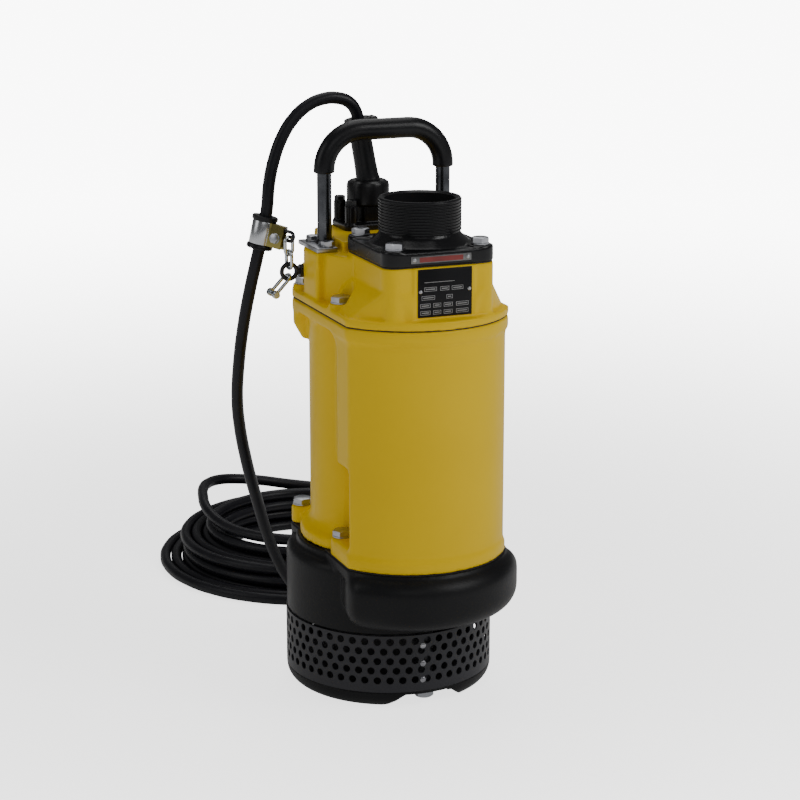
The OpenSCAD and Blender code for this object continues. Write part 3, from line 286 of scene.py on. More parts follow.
# The floor glows more the farther it is from the pump: painted shade, a soft shadow that darkens the floor
# round the pump's base
far = floor_tree.nodes.new("ShaderNodeVectorMath")
far.operation = "DISTANCE"
far.inputs[1].default_value = (0, PAINTED_SHADE_Y - FLOOR_Y, 0)
glow_with_painted_shade = floor_tree.nodes.new("ShaderNodeMapRange")
glow_with_painted_shade.interpolation_type = "SMOOTHSTEP"
for key, value in (("From Min", 0.3), ("From Max", 3.2), ("To Min", 2.0), ("To Max", 9)):
    glow_with_painted_shade.inputs[key].default_value = value
seen = floor_tree.nodes.new("ShaderNodeMath")
seen.operation = "MULTIPLY"
floor_tree.links.new(floor_tree.nodes.new("ShaderNodeTexCoord").outputs["Object"], far.inputs[0])
floor_tree.links.new(far.outputs["Value"], glow_with_painted_shade.inputs["Value"])
floor_tree.links.new(glow_with_painted_shade.outputs["Result"], seen.inputs[0])
floor_tree.links.new(camera_choice(floor_tree, 0.06, 1), seen.inputs[1])
floor_tree.links.new(seen.outputs["Value"], floor_shader.inputs["Emission Strength"])
floor_mesh.materials.append(floor_paint)

# ---------------------------------------------------------------------------
# Strainer base: cast iron ring on three feet, painted dull black. Three bolts
# from below clamp it and the screen to the pump casing.
casing_paint = paint("casing_paint", (0.005, 0.005, 0.006), (0.010, 0.010, 0.011), 0.40, spread=0.16,
                     patch=9, grain=380, depth=0.4, edge=(0.02, 0.02, 0.022), specular=0.2)


def drum(bm, r, z0, z1, at=(0, 0), top=None, sides=96):
    # An upright cylinder, or a cone where top gives its upper radius. Sizes are in millimetres
    middle = Matrix.Translation(Vector((at[0], at[1], (z0 + z1) / 2)) * MM)
    return bmesh.ops.create_cone(bm, cap_ends=True, segments=sides, radius1=r * MM,
                                 radius2=(r if top is None else top) * MM, depth=(z1 - z0) * MM,
                                 matrix=middle)["verts"]


def block(bm, low, high):
    size = [(b - a) * MM for a, b in zip(low, high)]
    middle = Matrix.Translation([(a + b) / 2 * MM for a, b in zip(low, high)])
    return bmesh.ops.create_cube(bm, size=1, matrix=middle @ Matrix.Diagonal((*size, 1)))["verts"]


def slab(bm, outline, z0, z1):
    # An outline in plan, raised from z0 to z1
    face = bm.faces.new([bm.verts.new(Vector((x, y, z0)) * MM) for x, y in outline])
    risen = bmesh.ops.extrude_face_region(bm, geom=[face])["geom"]
    top = [v for v in risen if isinstance(v, bmesh.types.BMVert)]
    bmesh.ops.translate(bm, verts=top, vec=(0, 0, (z1 - z0) * MM))
    foot = {v for top_vert in top for e in top_vert.link_edges for v in e.verts} - set(top)
    return top + list(foot)


def lathe(bm, profile, at=(0, 0), sides=96, closed=False):
    # A profile of radius and height, turned round the upright line through at
    before = set(bm.verts)
    line = [bm.verts.new(Vector((r, 0, z)) * MM) for r, z in profile]
    edges = [bm.edges.new(pair) for pair in zip(line, line[1:])]
    if closed:
        edges.append(bm.edges.new((line[-1], line[0])))
    bmesh.ops.spin(bm, geom=line + edges, axis=(0, 0, 1), angle=2 * pi, steps=sides, use_merge=True)
    bmesh.ops.remove_doubles(bm, verts=[v for v in bm.verts if v not in before], dist=1e-6)
    made = [v for v in bm.verts if v not in before]
    bmesh.ops.translate(bm, verts=made, vec=Vector((at[0], at[1], 0)) * MM)
    return made


def bend(centre, r, a0, a1, n=8):
    # Points of an arc from a0 to a1 degrees, in n steps
    return [(centre[0] + r * cos(radians(a0 + (a1 - a0) * i / n)),
             centre[1] + r * sin(radians(a0 + (a1 - a0) * i / n))) for i in range(n + 1)]


def round_edges(bm, width, segments=3, over=30):
    bmesh.ops.recalc_face_normals(bm, faces=bm.faces)
    sharp = [e for e in bm.edges if len(e.link_faces) == 2 and e.calc_face_angle(0) > radians(over)]
    bmesh.ops.bevel(bm, geom=sharp, offset=width * MM, offset_type="OFFSET", segments=segments,
                    profile=0.5, affect="EDGES", clamp_overlap=True, material=-1)


def loose(name, bm):
    bmesh.ops.recalc_face_normals(bm, faces=bm.faces)
    mesh = bpy.data.meshes.new(name)
    bm.to_mesh(mesh)
    bm.free()
    made = bpy.data.objects.new(name, mesh)
    bpy.context.scene.collection.objects.link(made)
    return made


def piece(name, bm, coats, slot, *stands_for, body="pump", crease=35):
    # A finished piece: smooth but for its creases, with its finish, body and the nodes it replaces; its slot
    # is not used
    made = loose(name, bm)
    made.data.shade_smooth()
    made.data.set_sharp_from_angle(angle=radians(crease))
    for coat in coats if isinstance(coats, tuple) else (coats,):
        made.data.materials.append(coat)
    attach(made, body)
    if stands_for:
        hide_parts(*stands_for)
    return made


def casting(solid, hollow, grid, soft):
    # Joins overlapping shells, cuts the cores out, and softens the edges as a sand mould does
    whole = loose("pattern", solid)
    core = loose("core", hollow)
    cut = whole.modifiers.new("cut", "BOOLEAN")
    cut.operation = "DIFFERENCE"
    cut.solver = "EXACT"
    cut.use_self = True
    cut.object = core
    melt = whole.modifiers.new("melt", "REMESH")
    melt.mode = "VOXEL"
    melt.voxel_size = grid * MM
    blur = whole.modifiers.new("blur", "SMOOTH")
    blur.factor = 0.5
    blur.iterations = soft
    bpy.context.view_layer.update()
    mesh = bpy.data.meshes.new_from_object(whole.evaluated_get(bpy.context.evaluated_depsgraph_get()))
    cast = bmesh.new()
    cast.from_mesh(mesh)
    for spent in (whole, core):
        bpy.data.objects.remove(spent)
    bpy.data.meshes.remove(mesh)
    return cast


BASE_TOP = 16
SCREEN_R = 117
STAY_CIRCLE = 102
NOTCH_TURNS = [-89 + 120 * i for i in range(3)]
solid = bmesh.new()
lathe(solid, [(0, BASE_TOP), (84, BASE_TOP), (88, 0)] + bend((SCREEN_R - 18, 18), 18, -90, 0, 10)
      + [(SCREEN_R, BASE_TOP + 4), (0, BASE_TOP + 4)])
hollow = bmesh.new()
for turn in NOTCH_TURNS:
    # each notch is drawn lying, then stood up and turned to its place between two feet
    notch = slab(hollow, [(-48.5, -1), (48.5, -1), (27, 16.2), (-27, 16.2)], 80, 130)
    bmesh.ops.transform(hollow, verts=notch, matrix=Matrix.Rotation(radians(turn), 4, "Z")
                        @ Matrix(((0, 0, 1, 0), (1, 0, 0, 0), (0, 1, 0, 0), (0, 0, 0, 1))))
piece("strainer_feet", casting(solid, hollow, 1.4, 3), casing_paint, "black_paint", "strainer_base",
      crease=80)

# ---------------------------------------------------------------------------
# Stay bolts: three plated hexagon bolts, one in each notch of the base. One
# head is the pattern for every hexagon head on the pump.
zinc = paint("zinc_plate", (0.52, 0.53, 0.55), (0.36, 0.37, 0.40), 0.30, spread=0.2, patch=70, grain=900,
             depth=0.12, metallic=1.0)


def hexagon_head():
    # A hexagon 1 across its flats and 1 high, cut to a blank whose top is chamfered
    bm = bmesh.new()
    drum(bm, 1 / cos(radians(30)) / 2, 0, 1, sides=6)
    bmesh.ops.rotate(bm, verts=bm.verts, matrix=Matrix.Rotation(radians(30), 3, "Z"))
    head = loose("head", bm)
    bm = bmesh.new()
    lathe(bm, [(0, -0.2), (0.7, -0.2), (0.7, 0.62), (0.575, 0.86), (0.47, 1.0), (0, 1.0)], sides=48)
    turned = loose("turned", bm)
    trim = head.modifiers.new("trim", "BOOLEAN")
    trim.operation = "INTERSECT"
    trim.solver = "EXACT"
    trim.object = turned
    bpy.context.view_layer.update()
    mesh = bpy.data.meshes.new_from_object(head.evaluated_get(bpy.context.evaluated_depsgraph_get()))
    for spent in (head, turned):
        bpy.data.objects.remove(spent)
    return mesh


HEAD = hexagon_head()


def bolt(bm, at, af, head, shank, length, washer=0.0, turn=0.0, under=False):
    # at is the seat of the head, af its width across flats, and under hangs it below its seat
    before = set(bm.verts)
    bm.from_mesh(HEAD)
    made = [v for v in bm.verts if v not in before]
    bmesh.ops.scale(bm, verts=made, vec=(af, af, head - washer))
    bmesh.ops.translate(bm, verts=made, vec=(0, 0, washer * MM))
    drum(bm, shank, -length, 0.2, sides=24)
    if washer:
        lathe(bm, [(shank, 0), (af * 0.56, 0), (af * 0.56 + 0.3, 0.3), (af * 0.56 + 0.3, washer - 0.3),
                   (af * 0.56, washer), (shank, washer)], sides=36, closed=True)
    made = [v for v in bm.verts if v not in before]
    flip = Matrix.Rotation(pi, 4, "X") if under else Matrix()
    bmesh.ops.transform(bm, verts=made, matrix=Matrix.Translation(Vector(at) * MM)
                        @ Matrix.Rotation(radians(turn), 4, "Z") @ flip)


bm = bmesh.new()
for turn in NOTCH_TURNS:
    seat = (STAY_CIRCLE * cos(radians(turn)), STAY_CIRCLE * sin(radians(turn)), BASE_TOP)
    bolt(bm, seat, af=19, head=7.5, shank=5.9, length=79.5, turn=turn, under=True)
piece("stay_bolt_heads", bm, zinc, "zinc_steel", "stay_bolts")

# ---------------------------------------------------------------------------
# Strainer screen: perforated sheet rolled into a ring, black coated. Its ends
# lap at the front, where spot welds join them; tubes inside space the casting.
screen_coat = paint("screen_coat", (0.011, 0.011, 0.015), (0.018, 0.018, 0.024), 0.36, spread=0.14, patch=12,
                    grain=420, depth=0.25, edge=(0.05, 0.05, 0.055), wear=0.5, specular=0.3)
weld_spot = paint("weld_spot", (0.42, 0.42, 0.44), (0.22, 0.22, 0.24), 0.26, patch=120, metallic=0.9)
coat_nodes(screen_coat, "strainer_screen", "stay_tubes")
LAP_TURN = -92.5
WELD_HEIGHTS = (33, 52, 73)
bm = bmesh.new()
for z in WELD_HEIGHTS:
    dome = lathe(bm, [(0, 0.9), (1.6, 0.7), (3.0, 0.2), (3.6, -0.4), (0, -0.4)], sides=24)
    bmesh.ops.transform(bm, verts=dome, matrix=Matrix.Rotation(radians(LAP_TURN), 4, "Z")
                        @ Matrix.Translation(Vector((SCREEN_R, 0, z)) * MM) @ Matrix.Rotation(pi / 2, 4, "Y"))
piece("lap_spots", bm, weld_spot, "black_paint")

# ---------------------------------------------------------------------------
# Pump casing: cast iron, painted the same dull black. It bulges at the front
# over the volute, and the suction cover closes it from below.
CASING_FOOT = 86
CASING_TOP = 171.5
SKIRT_R = 116
SHELL_R = 88
FRONT_R = 106
FRONT_Y = -61
FRONT_HALF = 91
CORNER_R = 12
LUG_X = 80
LUG_R = 11
FRONT_LUG_Y = -65
REAR_LUG_Y = 66
BULGE_START = -167
BULGE_SWEEP = 172


def front_outline(grow):
    # The bowed front of the casings between its two round corners, grown by grow
    r, x = FRONT_R + grow, FRONT_HALF + grow - CORNER_R
    y = FRONT_Y - sqrt((r - CORNER_R) ** 2 - x * x)
    a = degrees(atan2(y - FRONT_Y, x))
    return (bend((-x, y), CORNER_R, -180, -180 - a, 6) + bend((0, FRONT_Y), r, -180 - a, a, 40)
            + bend((x, y), CORNER_R, a, 0, 6))


def rim_outline(grow, lug_y):
    # A joint's rim: the bowed front, the two rear lugs and the round back
    return (front_outline(grow) + bend((LUG_X, lug_y), LUG_R + grow, 0, 70)
            + bend((0, 0), 93 + grow, 66, 114, 20) + bend((-LUG_X, lug_y), LUG_R + grow, 110, 180))


def passage_outline(wall, half):
    # The water's way between the motor's round shell and the bowed front
    r = FRONT_R - wall
    a, b = degrees(asin(half / r)), degrees(asin(half / SHELL_R))
    return bend((0, FRONT_Y), r, -90 - a, -90 + a, 16) + bend((0, 0), SHELL_R, -90 + b, -90 - b, 16)


def at_corners(bm, rear_y, make):
    # Makes the same thing at the four bolts of a joint
    for x in (-LUG_X, LUG_X):
        for y in (FRONT_LUG_Y, rear_y):
            make(bm, (x, y))


solid = bmesh.new()
lathe(solid, [(0, CASING_FOOT), (SKIRT_R, CASING_FOOT)] + bend((SKIRT_R - 12, 152), 12, 0, 80, 8)
      + [(SKIRT_R - 12, 164.5), (SKIRT_R - 12, CASING_TOP), (0, CASING_TOP)], sides=144)
slab(solid, rim_outline(2, REAR_LUG_Y), CASING_TOP - 13, CASING_TOP)
bulge = ([(40, 107)] + bend((97.3, 131), 24, -90, 0, 12) + bend((100.3, 148.5), 21, 0, 62, 8)
         + [(108.4, CASING_TOP - 3), (108.4, CASING_TOP), (40, CASING_TOP)])
others = set(solid.verts)
end = solid.faces.new([solid.verts.new(Vector((r, 0, z)) * MM) for r, z in bulge])
bmesh.ops.spin(solid, geom=[end], axis=(0, 0, 1), angle=radians(BULGE_SWEEP), steps=96)
for v in [v for v in solid.verts if v not in others]:
    # both ends of the bulge sink softly into the skirt
    swept = degrees(atan2(v.co.y, v.co.x))
    sink = 0.74 + 0.26 * ease(min(swept / 28, (BULGE_SWEEP - swept) / 26))
    v.co = (Matrix.Translation(Vector((0, FRONT_Y, 0)) * MM) @ Matrix.Rotation(radians(BULGE_START), 4, "Z")
            @ Vector((v.co.x * sink, v.co.y * sink, v.co.z)))
hollow = bmesh.new()
# inside: the impeller's room, the way out of it to the front, the passage up, and the oil casing's seat
drum(hollow, 90, 80, 144.5)
slab(hollow, passage_outline(0, 56), 118, 155.5)
slab(hollow, passage_outline(7, 52), 151.5, 180)
drum(hollow, 82, 143.5, 180)
piece("casing_casting", casting(solid, hollow, 1.9, 6), casing_paint, "black_paint", "pump_casing", crease=80)
coat_nodes(casing_paint, "suction_cover")

# ---------------------------------------------------------------------------
# Oil casing under the motor, machined iron, with its lid and plug, and the
# paper gasket of the casing joint, which shows as a dark line.
turned_iron = paint("turned_iron", (0.19, 0.19, 0.20), (0.12, 0.12, 0.13), 0.42, patch=30, metallic=0.8)
bright_steel = paint("bright_steel", (0.58, 0.59, 0.60), (0.48, 0.49, 0.51), 0.22, patch=60, grain=900,
                     depth=0.05, metallic=1.0)
joint_paper = paint("joint_paper", (0.008, 0.008, 0.008), (0.014, 0.014, 0.014), 0.7, patch=90)
coat_nodes(turned_iron, "oil_casing", "oil_casing_lid", "upper_bracket")
coat_nodes(bright_steel, "oil_plug")
coat_nodes(joint_paper, "casing_gasket", "cover_gasket", "flange_gasket")

# ---------------------------------------------------------------------------
# Motor frame: iron casting in yellow enamel. A bolt channel runs down each
# front corner to an open pocket, where the casing bolt's head sits on a lug.
yellow_enamel = paint("yellow_enamel", (0.88, 0.58, 0.0), (0.83, 0.54, 0.0), 0.34, spread=0.12, patch=7,
                      grain=150, depth=0.16, edge=(0.86, 0.60, 0.005), wear=0.5, coat=0.03, coat_rough=0.18,
                      specular=0.14)
FRAME_FOOT = CASING_TOP + 1
FRAME_TOP = 439
FRAME_LUG_TOP = 193.5
BORE_R = 78
POCKET_R = 16
POCKET_TOP = 405
COVER_LUG_Y = 50
solid = bmesh.new()
drum(solid, SHELL_R, FRAME_FOOT, FRAME_TOP, sides=160)
# the front block's back lies inside the shell, and low down its sides are cut back, which opens the pockets
block_back = [(FRONT_HALF, -70), (70, -30), (-70, -30), (-FRONT_HALF, -70)]
pocket_back = [(86, -112), (61, -60), (61, -24), (-61, -24), (-61, -60), (-86, -112)]
slab(solid, front_outline(0) + block_back, FRAME_FOOT, FRAME_LUG_TOP)
slab(solid, front_outline(0) + pocket_back, FRAME_LUG_TOP - 1.5, 283)
slab(solid, front_outline(0) + block_back, 281.5, FRAME_TOP)
# the foot: a rim in front, a coved ring round the shell, and the two rear lugs on their webs
front_rim = (front_outline(2) + bend((LUG_X, FRONT_LUG_Y), 13, 0, 80)
             + bend((-LUG_X, FRONT_LUG_Y), 13, 100, 180))
slab(solid, front_rim, FRAME_FOOT, FRAME_FOOT + 13)
lathe(solid, [(60, FRAME_FOOT), (100, FRAME_FOOT), (100, 184)] + bend((108, 203), 20, 247, 180, 8)
      + [(87, 207), (60, 207)], sides=144, closed=True)
at_corners(solid, REAR_LUG_Y, lambda bm, at: drum(bm, 12.4, FRAME_FOOT, FRAME_LUG_TOP, at, sides=32))
for x in (-LUG_X, LUG_X):
    web = block(solid, (82, -11, 177.5), (103.7, 11, FRAME_LUG_TOP))
    bmesh.ops.rotate(solid, verts=web, matrix=Matrix.Rotation(atan2(REAR_LUG_Y, x), 3, "Z"))
# the head: a rim for the cover, and two rear bosses with tapered ends
slab(solid, rim_outline(3, COVER_LUG_Y), FRAME_TOP - 14, FRAME_TOP)
for x in (-LUG_X, LUG_X):
    drum(solid, 13.2, 410, FRAME_TOP - 1, (x, COVER_LUG_Y), sides=32)
    drum(solid, 3, 391, 410.5, (x, COVER_LUG_Y), top=13.2, sides=32)
hollow = bmesh.new()
for x in (-LUG_X, LUG_X):
    drum(hollow, POCKET_R, FRAME_LUG_TOP, POCKET_TOP, (x, FRONT_LUG_Y), sides=48)
    arch = bmesh.ops.create_uvsphere(hollow, u_segments=48, v_segments=24, radius=POCKET_R * MM)["verts"]
    bmesh.ops.translate(hollow, verts=arch, vec=Vector((x, FRONT_LUG_Y, POCKET_TOP)) * MM)
# inside: the oil casing's seat, the shaft's hole, the bearing's seat, the stator's bore, the upper
# bracket's seat, and the water's passage
drum(hollow, BORE_R, 170, 203.5)
drum(hollow, 22, 202.5, 224.5, sides=48)
drum(hollow, 36, 204.5, 224.5, sides=64)
drum(hollow, BORE_R, 223.5, 445)
drum(hollow, 80.5, 405, 446)
slab(hollow, passage_outline(7, 52), 168, 447)
piece("motor_frame_casting", casting(solid, hollow, 2.55, 4), yellow_enamel, "yellow_paint", "motor_frame",
      crease=80)
bm = bmesh.new()
at_corners(bm, REAR_LUG_Y, lambda bm, at: bolt(bm, (*at, FRAME_LUG_TOP), af=19, head=7.5, shank=5.3,
                                               length=42, washer=1.6, turn=at[1]))
piece("frame_bolt_heads", bm, zinc, "zinc_steel", "frame_bolts")

# ---------------------------------------------------------------------------
# Top cover: the same yellow iron. A box at the back carries the handle and the
# cable entry, and the neck in front carries the outlet and the nameplate.
COVER_FOOT = FRAME_TOP + 1
COVER_LUG_TOP = 455
BOX_TOP = 501
BOX_HALF = 91
DECK_TOP = 512
DECK_HALF = 61
NECK_TOP = 505
PORT = (0, -92)
PORT_R = 38
PLATE_Y = -157
PLATE_SEAT_X = (-33, 36)
ENTRY = (0, 60)
ENTRY_HOLE_R = 12
EYE_BOLT_Y = 31.6
EYE_BOLT_Z = 473


def rounded(half_x, half_y, r, at):
    # A rectangle grown by r round its corners
    corners = ((half_x, -half_y), (half_x, half_y), (-half_x, half_y), (-half_x, -half_y))
    points = [p for i, corner in enumerate(corners) for p in bend(corner, r, 90 * i - 90, 90 * i)]
    return [(x + at[0], y + at[1]) for x, y in points]


solid = bmesh.new()
slab(solid, rim_outline(3, COVER_LUG_Y), COVER_FOOT, COVER_FOOT + 9)
at_corners(solid, COVER_LUG_Y, lambda bm, at: drum(bm, 13, COVER_FOOT, COVER_LUG_TOP, at, sides=40))
# the box over the motor, with a lip at its front and the deck of the cable entry on top
back = bend((0, 0), 94, 50, 130, 20)
slab(solid, bend((BOX_HALF - 4, -17), 4, -90, 0, 4) + [(BOX_HALF, 22)] + back + [(-BOX_HALF, 22)]
     + bend((4 - BOX_HALF, -17), 4, 180, 270, 4), COVER_FOOT, BOX_TOP)
for x in (-BOX_HALF, DECK_HALF):
    block(solid, (x, -22.5, BOX_TOP - 14), (x + BOX_HALF - DECK_HALF, -15, BOX_TOP))
slab(solid, [(-DECK_HALF, -23.5), (DECK_HALF, -23.5)] + back, BOX_TOP - 14, DECK_TOP)
# the square neck, its cheeks to the box, and its sloping shoulder down to the rim
square = rounded(47, 47, 16, PORT)
slab(solid, square, COVER_FOOT + 9, NECK_TOP)
block(solid, (-48, -60, COVER_FOOT - 0.5), (48, -15, NECK_TOP))
slab(solid, [(-60.5, -64), (60.5, -64), (84, -18), (-84, -18)], 443, 500.4)
shoulder = (slab(solid, front_outline(-4) + [(83, -50), (-83, -50)], 448, 451)
            + slab(solid, [(x * 0.998, y) for x, y in square], 479, 480))
spare = bmesh.ops.convex_hull(solid, input=shoulder, use_existing_faces=False)
bmesh.ops.delete(solid, geom=[g for g in spare["geom_interior"] + spare["geom_unused"]
                              if isinstance(g, bmesh.types.BMVert)], context="VERTS")
# the nameplate's pad, and the boss of the eye bolt on the left
block(solid, (PLATE_SEAT_X[0], PLATE_Y, 448), (PLATE_SEAT_X[1], PORT[1], 504.3))
boss = drum(solid, 9, -88.5, -66, sides=40)
bmesh.ops.transform(solid, verts=boss, matrix=Matrix.Translation(Vector((0, EYE_BOLT_Y, EYE_BOLT_Z)) * MM)
                    @ Matrix.Rotation(pi / 2, 4, "Y"))
hollow = bmesh.new()
block(hollow, (PLATE_SEAT_X[0], -200, 449.5), (PLATE_SEAT_X[1], PLATE_Y, 520))
# inside: the water's way up to the port, the chamber over the motor, and the cable's hole
slab(hollow, passage_outline(7, 52), 430, 447)
slab(hollow, passage_outline(22, 46), 446, 475)
drum(hollow, PORT_R, 457, 520, PORT)
slab(hollow, bend((0, 0), 75, -10, 73.7, 20) + bend((0, 0), 75, 106.3, 190, 20)
     + [(-48, -13), (-48, -44), (48, -44), (48, -13)], 430, 477)
drum(hollow, ENTRY_HOLE_R, 470, 530, ENTRY, sides=48)
at_corners(hollow, COVER_LUG_Y, lambda bm, at: drum(bm, 15.5, COVER_LUG_TOP, 530, at, sides=48))
piece("top_cover_casting", casting(solid, hollow, 1.6, 5), yellow_enamel, "yellow_paint", "top_cover",
      crease=80)
bm = bmesh.new()
at_corners(bm, COVER_LUG_Y, lambda bm, at: bolt(bm, (*at, COVER_LUG_TOP), af=19, head=7.5, shank=5.3,
                                                length=36, washer=1.6, turn=at[0] + 20))
piece("cover_bolt_heads", bm, zinc, "zinc_steel", "cover_bolts")

# ---------------------------------------------------------------------------
# Discharge flange: black casting bolted on the neck, with a thread on its port
# for a hose coupling.
black_enamel = paint("black_enamel", (0.005, 0.005, 0.006), (0.009, 0.009, 0.010), 0.26, spread=0.14,
                     patch=10, grain=260, depth=0.22, edge=(0.03, 0.03, 0.033), coat=0.08, coat_rough=0.15,
                     specular=0.25)
FLANGE_FOOT = NECK_TOP + 1
FLANGE_TOP = 521
FLANGE_LUG_TOP = 523
FLANGE_BOLTS = [(x, PORT[1] + y) for y in (-48.5, 48.5) for x in (-48.5, 48.5)]
PORT_TOP = 569
THREAD_R = 44.45
THREAD_ROOT = 43.0
THREAD_PITCH = 3.175
THREAD_TURNS = 11
solid = bmesh.new()
slab(solid, square, FLANGE_FOOT, FLANGE_TOP)
for at in FLANGE_BOLTS:
    drum(solid, 13.5, FLANGE_FOOT, FLANGE_LUG_TOP, at, sides=40)
drum(solid, THREAD_R + 12, FLANGE_TOP - 1.5, 530, PORT, top=THREAD_R)
drum(solid, 43.5, FLANGE_TOP - 2, 534, PORT)
hollow = bmesh.new()
drum(hollow, PORT_R, 490, 540, PORT)
piece("flange_casting", casting(solid, hollow, 1.3, 4), black_enamel, "black_paint", crease=80)
profile = [(PORT_R, 529), (PORT_R, PORT_TOP - 2), (40.5, PORT_TOP), (43.2, PORT_TOP)]
for k in range(THREAD_TURNS):
    crest = PORT_TOP - 2.1 - THREAD_PITCH * k
    profile += [(THREAD_R, crest + 0.35), (THREAD_R, crest - 0.55), (THREAD_ROOT, crest - 1.4),
                (THREAD_ROOT, crest - 2.3)]
bm = bmesh.new()
lathe(bm, profile + [(43.6, 531)], PORT, sides=128, closed=True)
piece("port_thread", bm, black_enamel, "black_paint", "discharge_flange", crease=25)
bm = bmesh.new()
for i, at in enumerate(FLANGE_BOLTS):
    bolt(bm, (*at, FLANGE_LUG_TOP), af=17, head=7.5, shank=4.3, length=34, washer=1.8, turn=17 * i)
piece("flange_bolt_heads", bm, zinc, "zinc_steel", "flange_bolts")

# ---------------------------------------------------------------------------
# Nameplate and flange strip: thin stamped plates, left blank, held by drive
# rivets. The plate is black with rows of empty boxes, the strip grey and red.
plate_black = paint("plate_black", (0.004, 0.004, 0.005), (0.008, 0.008, 0.009), 0.40, patch=30, specular=0.2)
plate_line = paint("plate_line", (0.34, 0.34, 0.34), (0.22, 0.22, 0.22), 0.42, patch=120)
strip_grey = paint("strip_grey", (0.20, 0.20, 0.20), (0.12, 0.12, 0.12), 0.36, patch=70, metallic=0.5)
strip_red = paint("strip_red", (0.24, 0.03, 0.025), (0.17, 0.02, 0.018), 0.40, patch=60)
FIELD_ROWS = ((484.5, ((-22, -8), (-4, 6), (9, 22))), (475.5, ((-25, -10), (3, 10))),
              (467.2, ((-26.5, -15), (-12, -3), (0, 10), (14, 28))),
              (459.6, ((-26.5, -15), (-12, -3), (0, 10), (14, 28))))
FIELD_HEIGHT = 4.4
LINE_WIDTH = 0.5
STRIP_Y = -155


def empty_box(bm, x0, x1, z1):
    # four thin bars round a field, and one blank rule inside it
    z0 = z1 - FIELD_HEIGHT
    for low, high in (((x0, z0), (x1, z0 + LINE_WIDTH)), ((x0, z1 - LINE_WIDTH), (x1, z1)),
                      ((x0, z0 + LINE_WIDTH), (x0 + LINE_WIDTH, z1 - LINE_WIDTH)),
                      ((x1 - LINE_WIDTH, z0 + LINE_WIDTH), (x1, z1 - LINE_WIDTH))):
        block(bm, (low[0], PLATE_Y - 1, low[1]), (high[0], PLATE_Y - 0.65, high[1]))
    block(bm, (x0 + 1.6, PLATE_Y - 0.95, z1 - 2.7), (x1 - 1.6, PLATE_Y - 0.7, z1 - 1.7))


bm = bmesh.new()
block(bm, (-29, PLATE_Y - 0.85, 452.5), (32, PLATE_Y, 503.5))
round_edges(bm, 0.3, 2)
piece("nameplate_blank", bm, plate_black, "nameplate_black", "nameplate")
bm = bmesh.new()
for z, fields in FIELD_ROWS:
    for x0, x1 in fields:
        empty_box(bm, x0, x1, z)
block(bm, (-22, PLATE_Y - 0.95, 489.3), (12, PLATE_Y - 0.7, 489.9))
piece("nameplate_lines", bm, plate_line, "nameplate_black")
bm = bmesh.new()
block(bm, (-36, STRIP_Y - 1, 509.8), (32, STRIP_Y, 517.2))
round_edges(bm, 0.3, 2)
piece("strip_ground", bm, strip_grey, "strip_red", "flange_strip")
bm = bmesh.new()
block(bm, (-26.5, STRIP_Y - 1.2, 510.9), (22.5, STRIP_Y - 0.9, 516.1))
piece("strip_field", bm, strip_red, "strip_red")
bm = bmesh.new()
for x, y, z in ((-32, STRIP_Y - 1.2, 513.5), (28, STRIP_Y - 1.2, 513.5), (-26, PLATE_Y - 1, 480),
                (29, PLATE_Y - 1, 480)):
    rivet = lathe(bm, [(0, 1.2), (0.9, 1.05), (1.7, 0.6), (2.1, 0), (0, 0)], sides=20)
    bmesh.ops.transform(bm, verts=rivet, matrix=Matrix.Translation(Vector((x, y, z)) * MM)
                        @ Matrix.Rotation(pi / 2, 4, "X"))
piece("drive_rivets", bm, zinc, "zinc_steel", "rivets")

# ---------------------------------------------------------------------------
# Lifting handle: a plated round bar bent to an arch and welded to two foot
# plates, which four screws hold. A black rubber sleeve covers the arch.
bar_steel = paint("bar_steel", (0.12, 0.125, 0.135), (0.04, 0.042, 0.048), 0.24, spread=0.22, patch=45,
                  grain=800, depth=0.15, metallic=1.0)
moulded_rubber = paint("moulded_rubber", (0.005, 0.005, 0.006), (0.010, 0.010, 0.012), 0.34, spread=0.16,
                       patch=16, grain=600, depth=0.25, specular=0.28)
BAR_R = 8
GRIP_R = 11.5
GRIP_END = 583
HANDLE_Y = 11
LEG_X = 70
ARCH_R = 42
ARCH_Z = 586
FOOT_TOP = BOX_TOP + 5


def push(bm, face, move):
    # Pushes a bar's end face on, and returns the new end
    inside = any(len(e.link_faces) > 1 for e in face.edges)
    risen = bmesh.ops.extrude_face_region(bm, geom=[face])["geom"]
    tip = [v for v in risen if isinstance(v, bmesh.types.BMVert)]
    bmesh.ops.translate(bm, verts=tip, vec=Vector(move) * MM)
    if inside and face.is_valid:
        bmesh.ops.delete(bm, geom=[face], context="FACES_ONLY")
    return next(f for f in risen if isinstance(f, bmesh.types.BMFace))


def swing(bm, face, centre, axis, angle):
    # Carries a bar's end face round a bend, and returns the new end
    last = bmesh.ops.spin(bm, geom=[face], cent=Vector(centre) * MM, axis=axis, angle=radians(angle),
                          steps=16)["geom_last"]
    bmesh.ops.delete(bm, geom=[face], context="FACES_ONLY")
    return next(f for f in last if isinstance(f, bmesh.types.BMFace))


def disc(bm, r, at):
    before = set(bm.faces)
    bmesh.ops.create_circle(bm, cap_ends=True, segments=40, radius=r * MM,
                            matrix=Matrix.Translation(Vector(at) * MM))
    return next(f for f in bm.faces if f not in before)


def arch_bar(bm, r, foot):
    # Up the left leg, over the arch's two bends, and down the right leg
    inner_x = LEG_X - ARCH_R
    face = push(bm, disc(bm, r, (-LEG_X, HANDLE_Y, foot)), (0, 0, ARCH_Z - foot))
    face = swing(bm, face, (-inner_x, HANDLE_Y, ARCH_Z), (0, 1, 0), 90)
    face = push(bm, face, (2 * inner_x, 0, 0))
    face = swing(bm, face, (inner_x, HANDLE_Y, ARCH_Z), (0, 1, 0), 90)
    push(bm, face, (0, 0, foot - ARCH_Z))


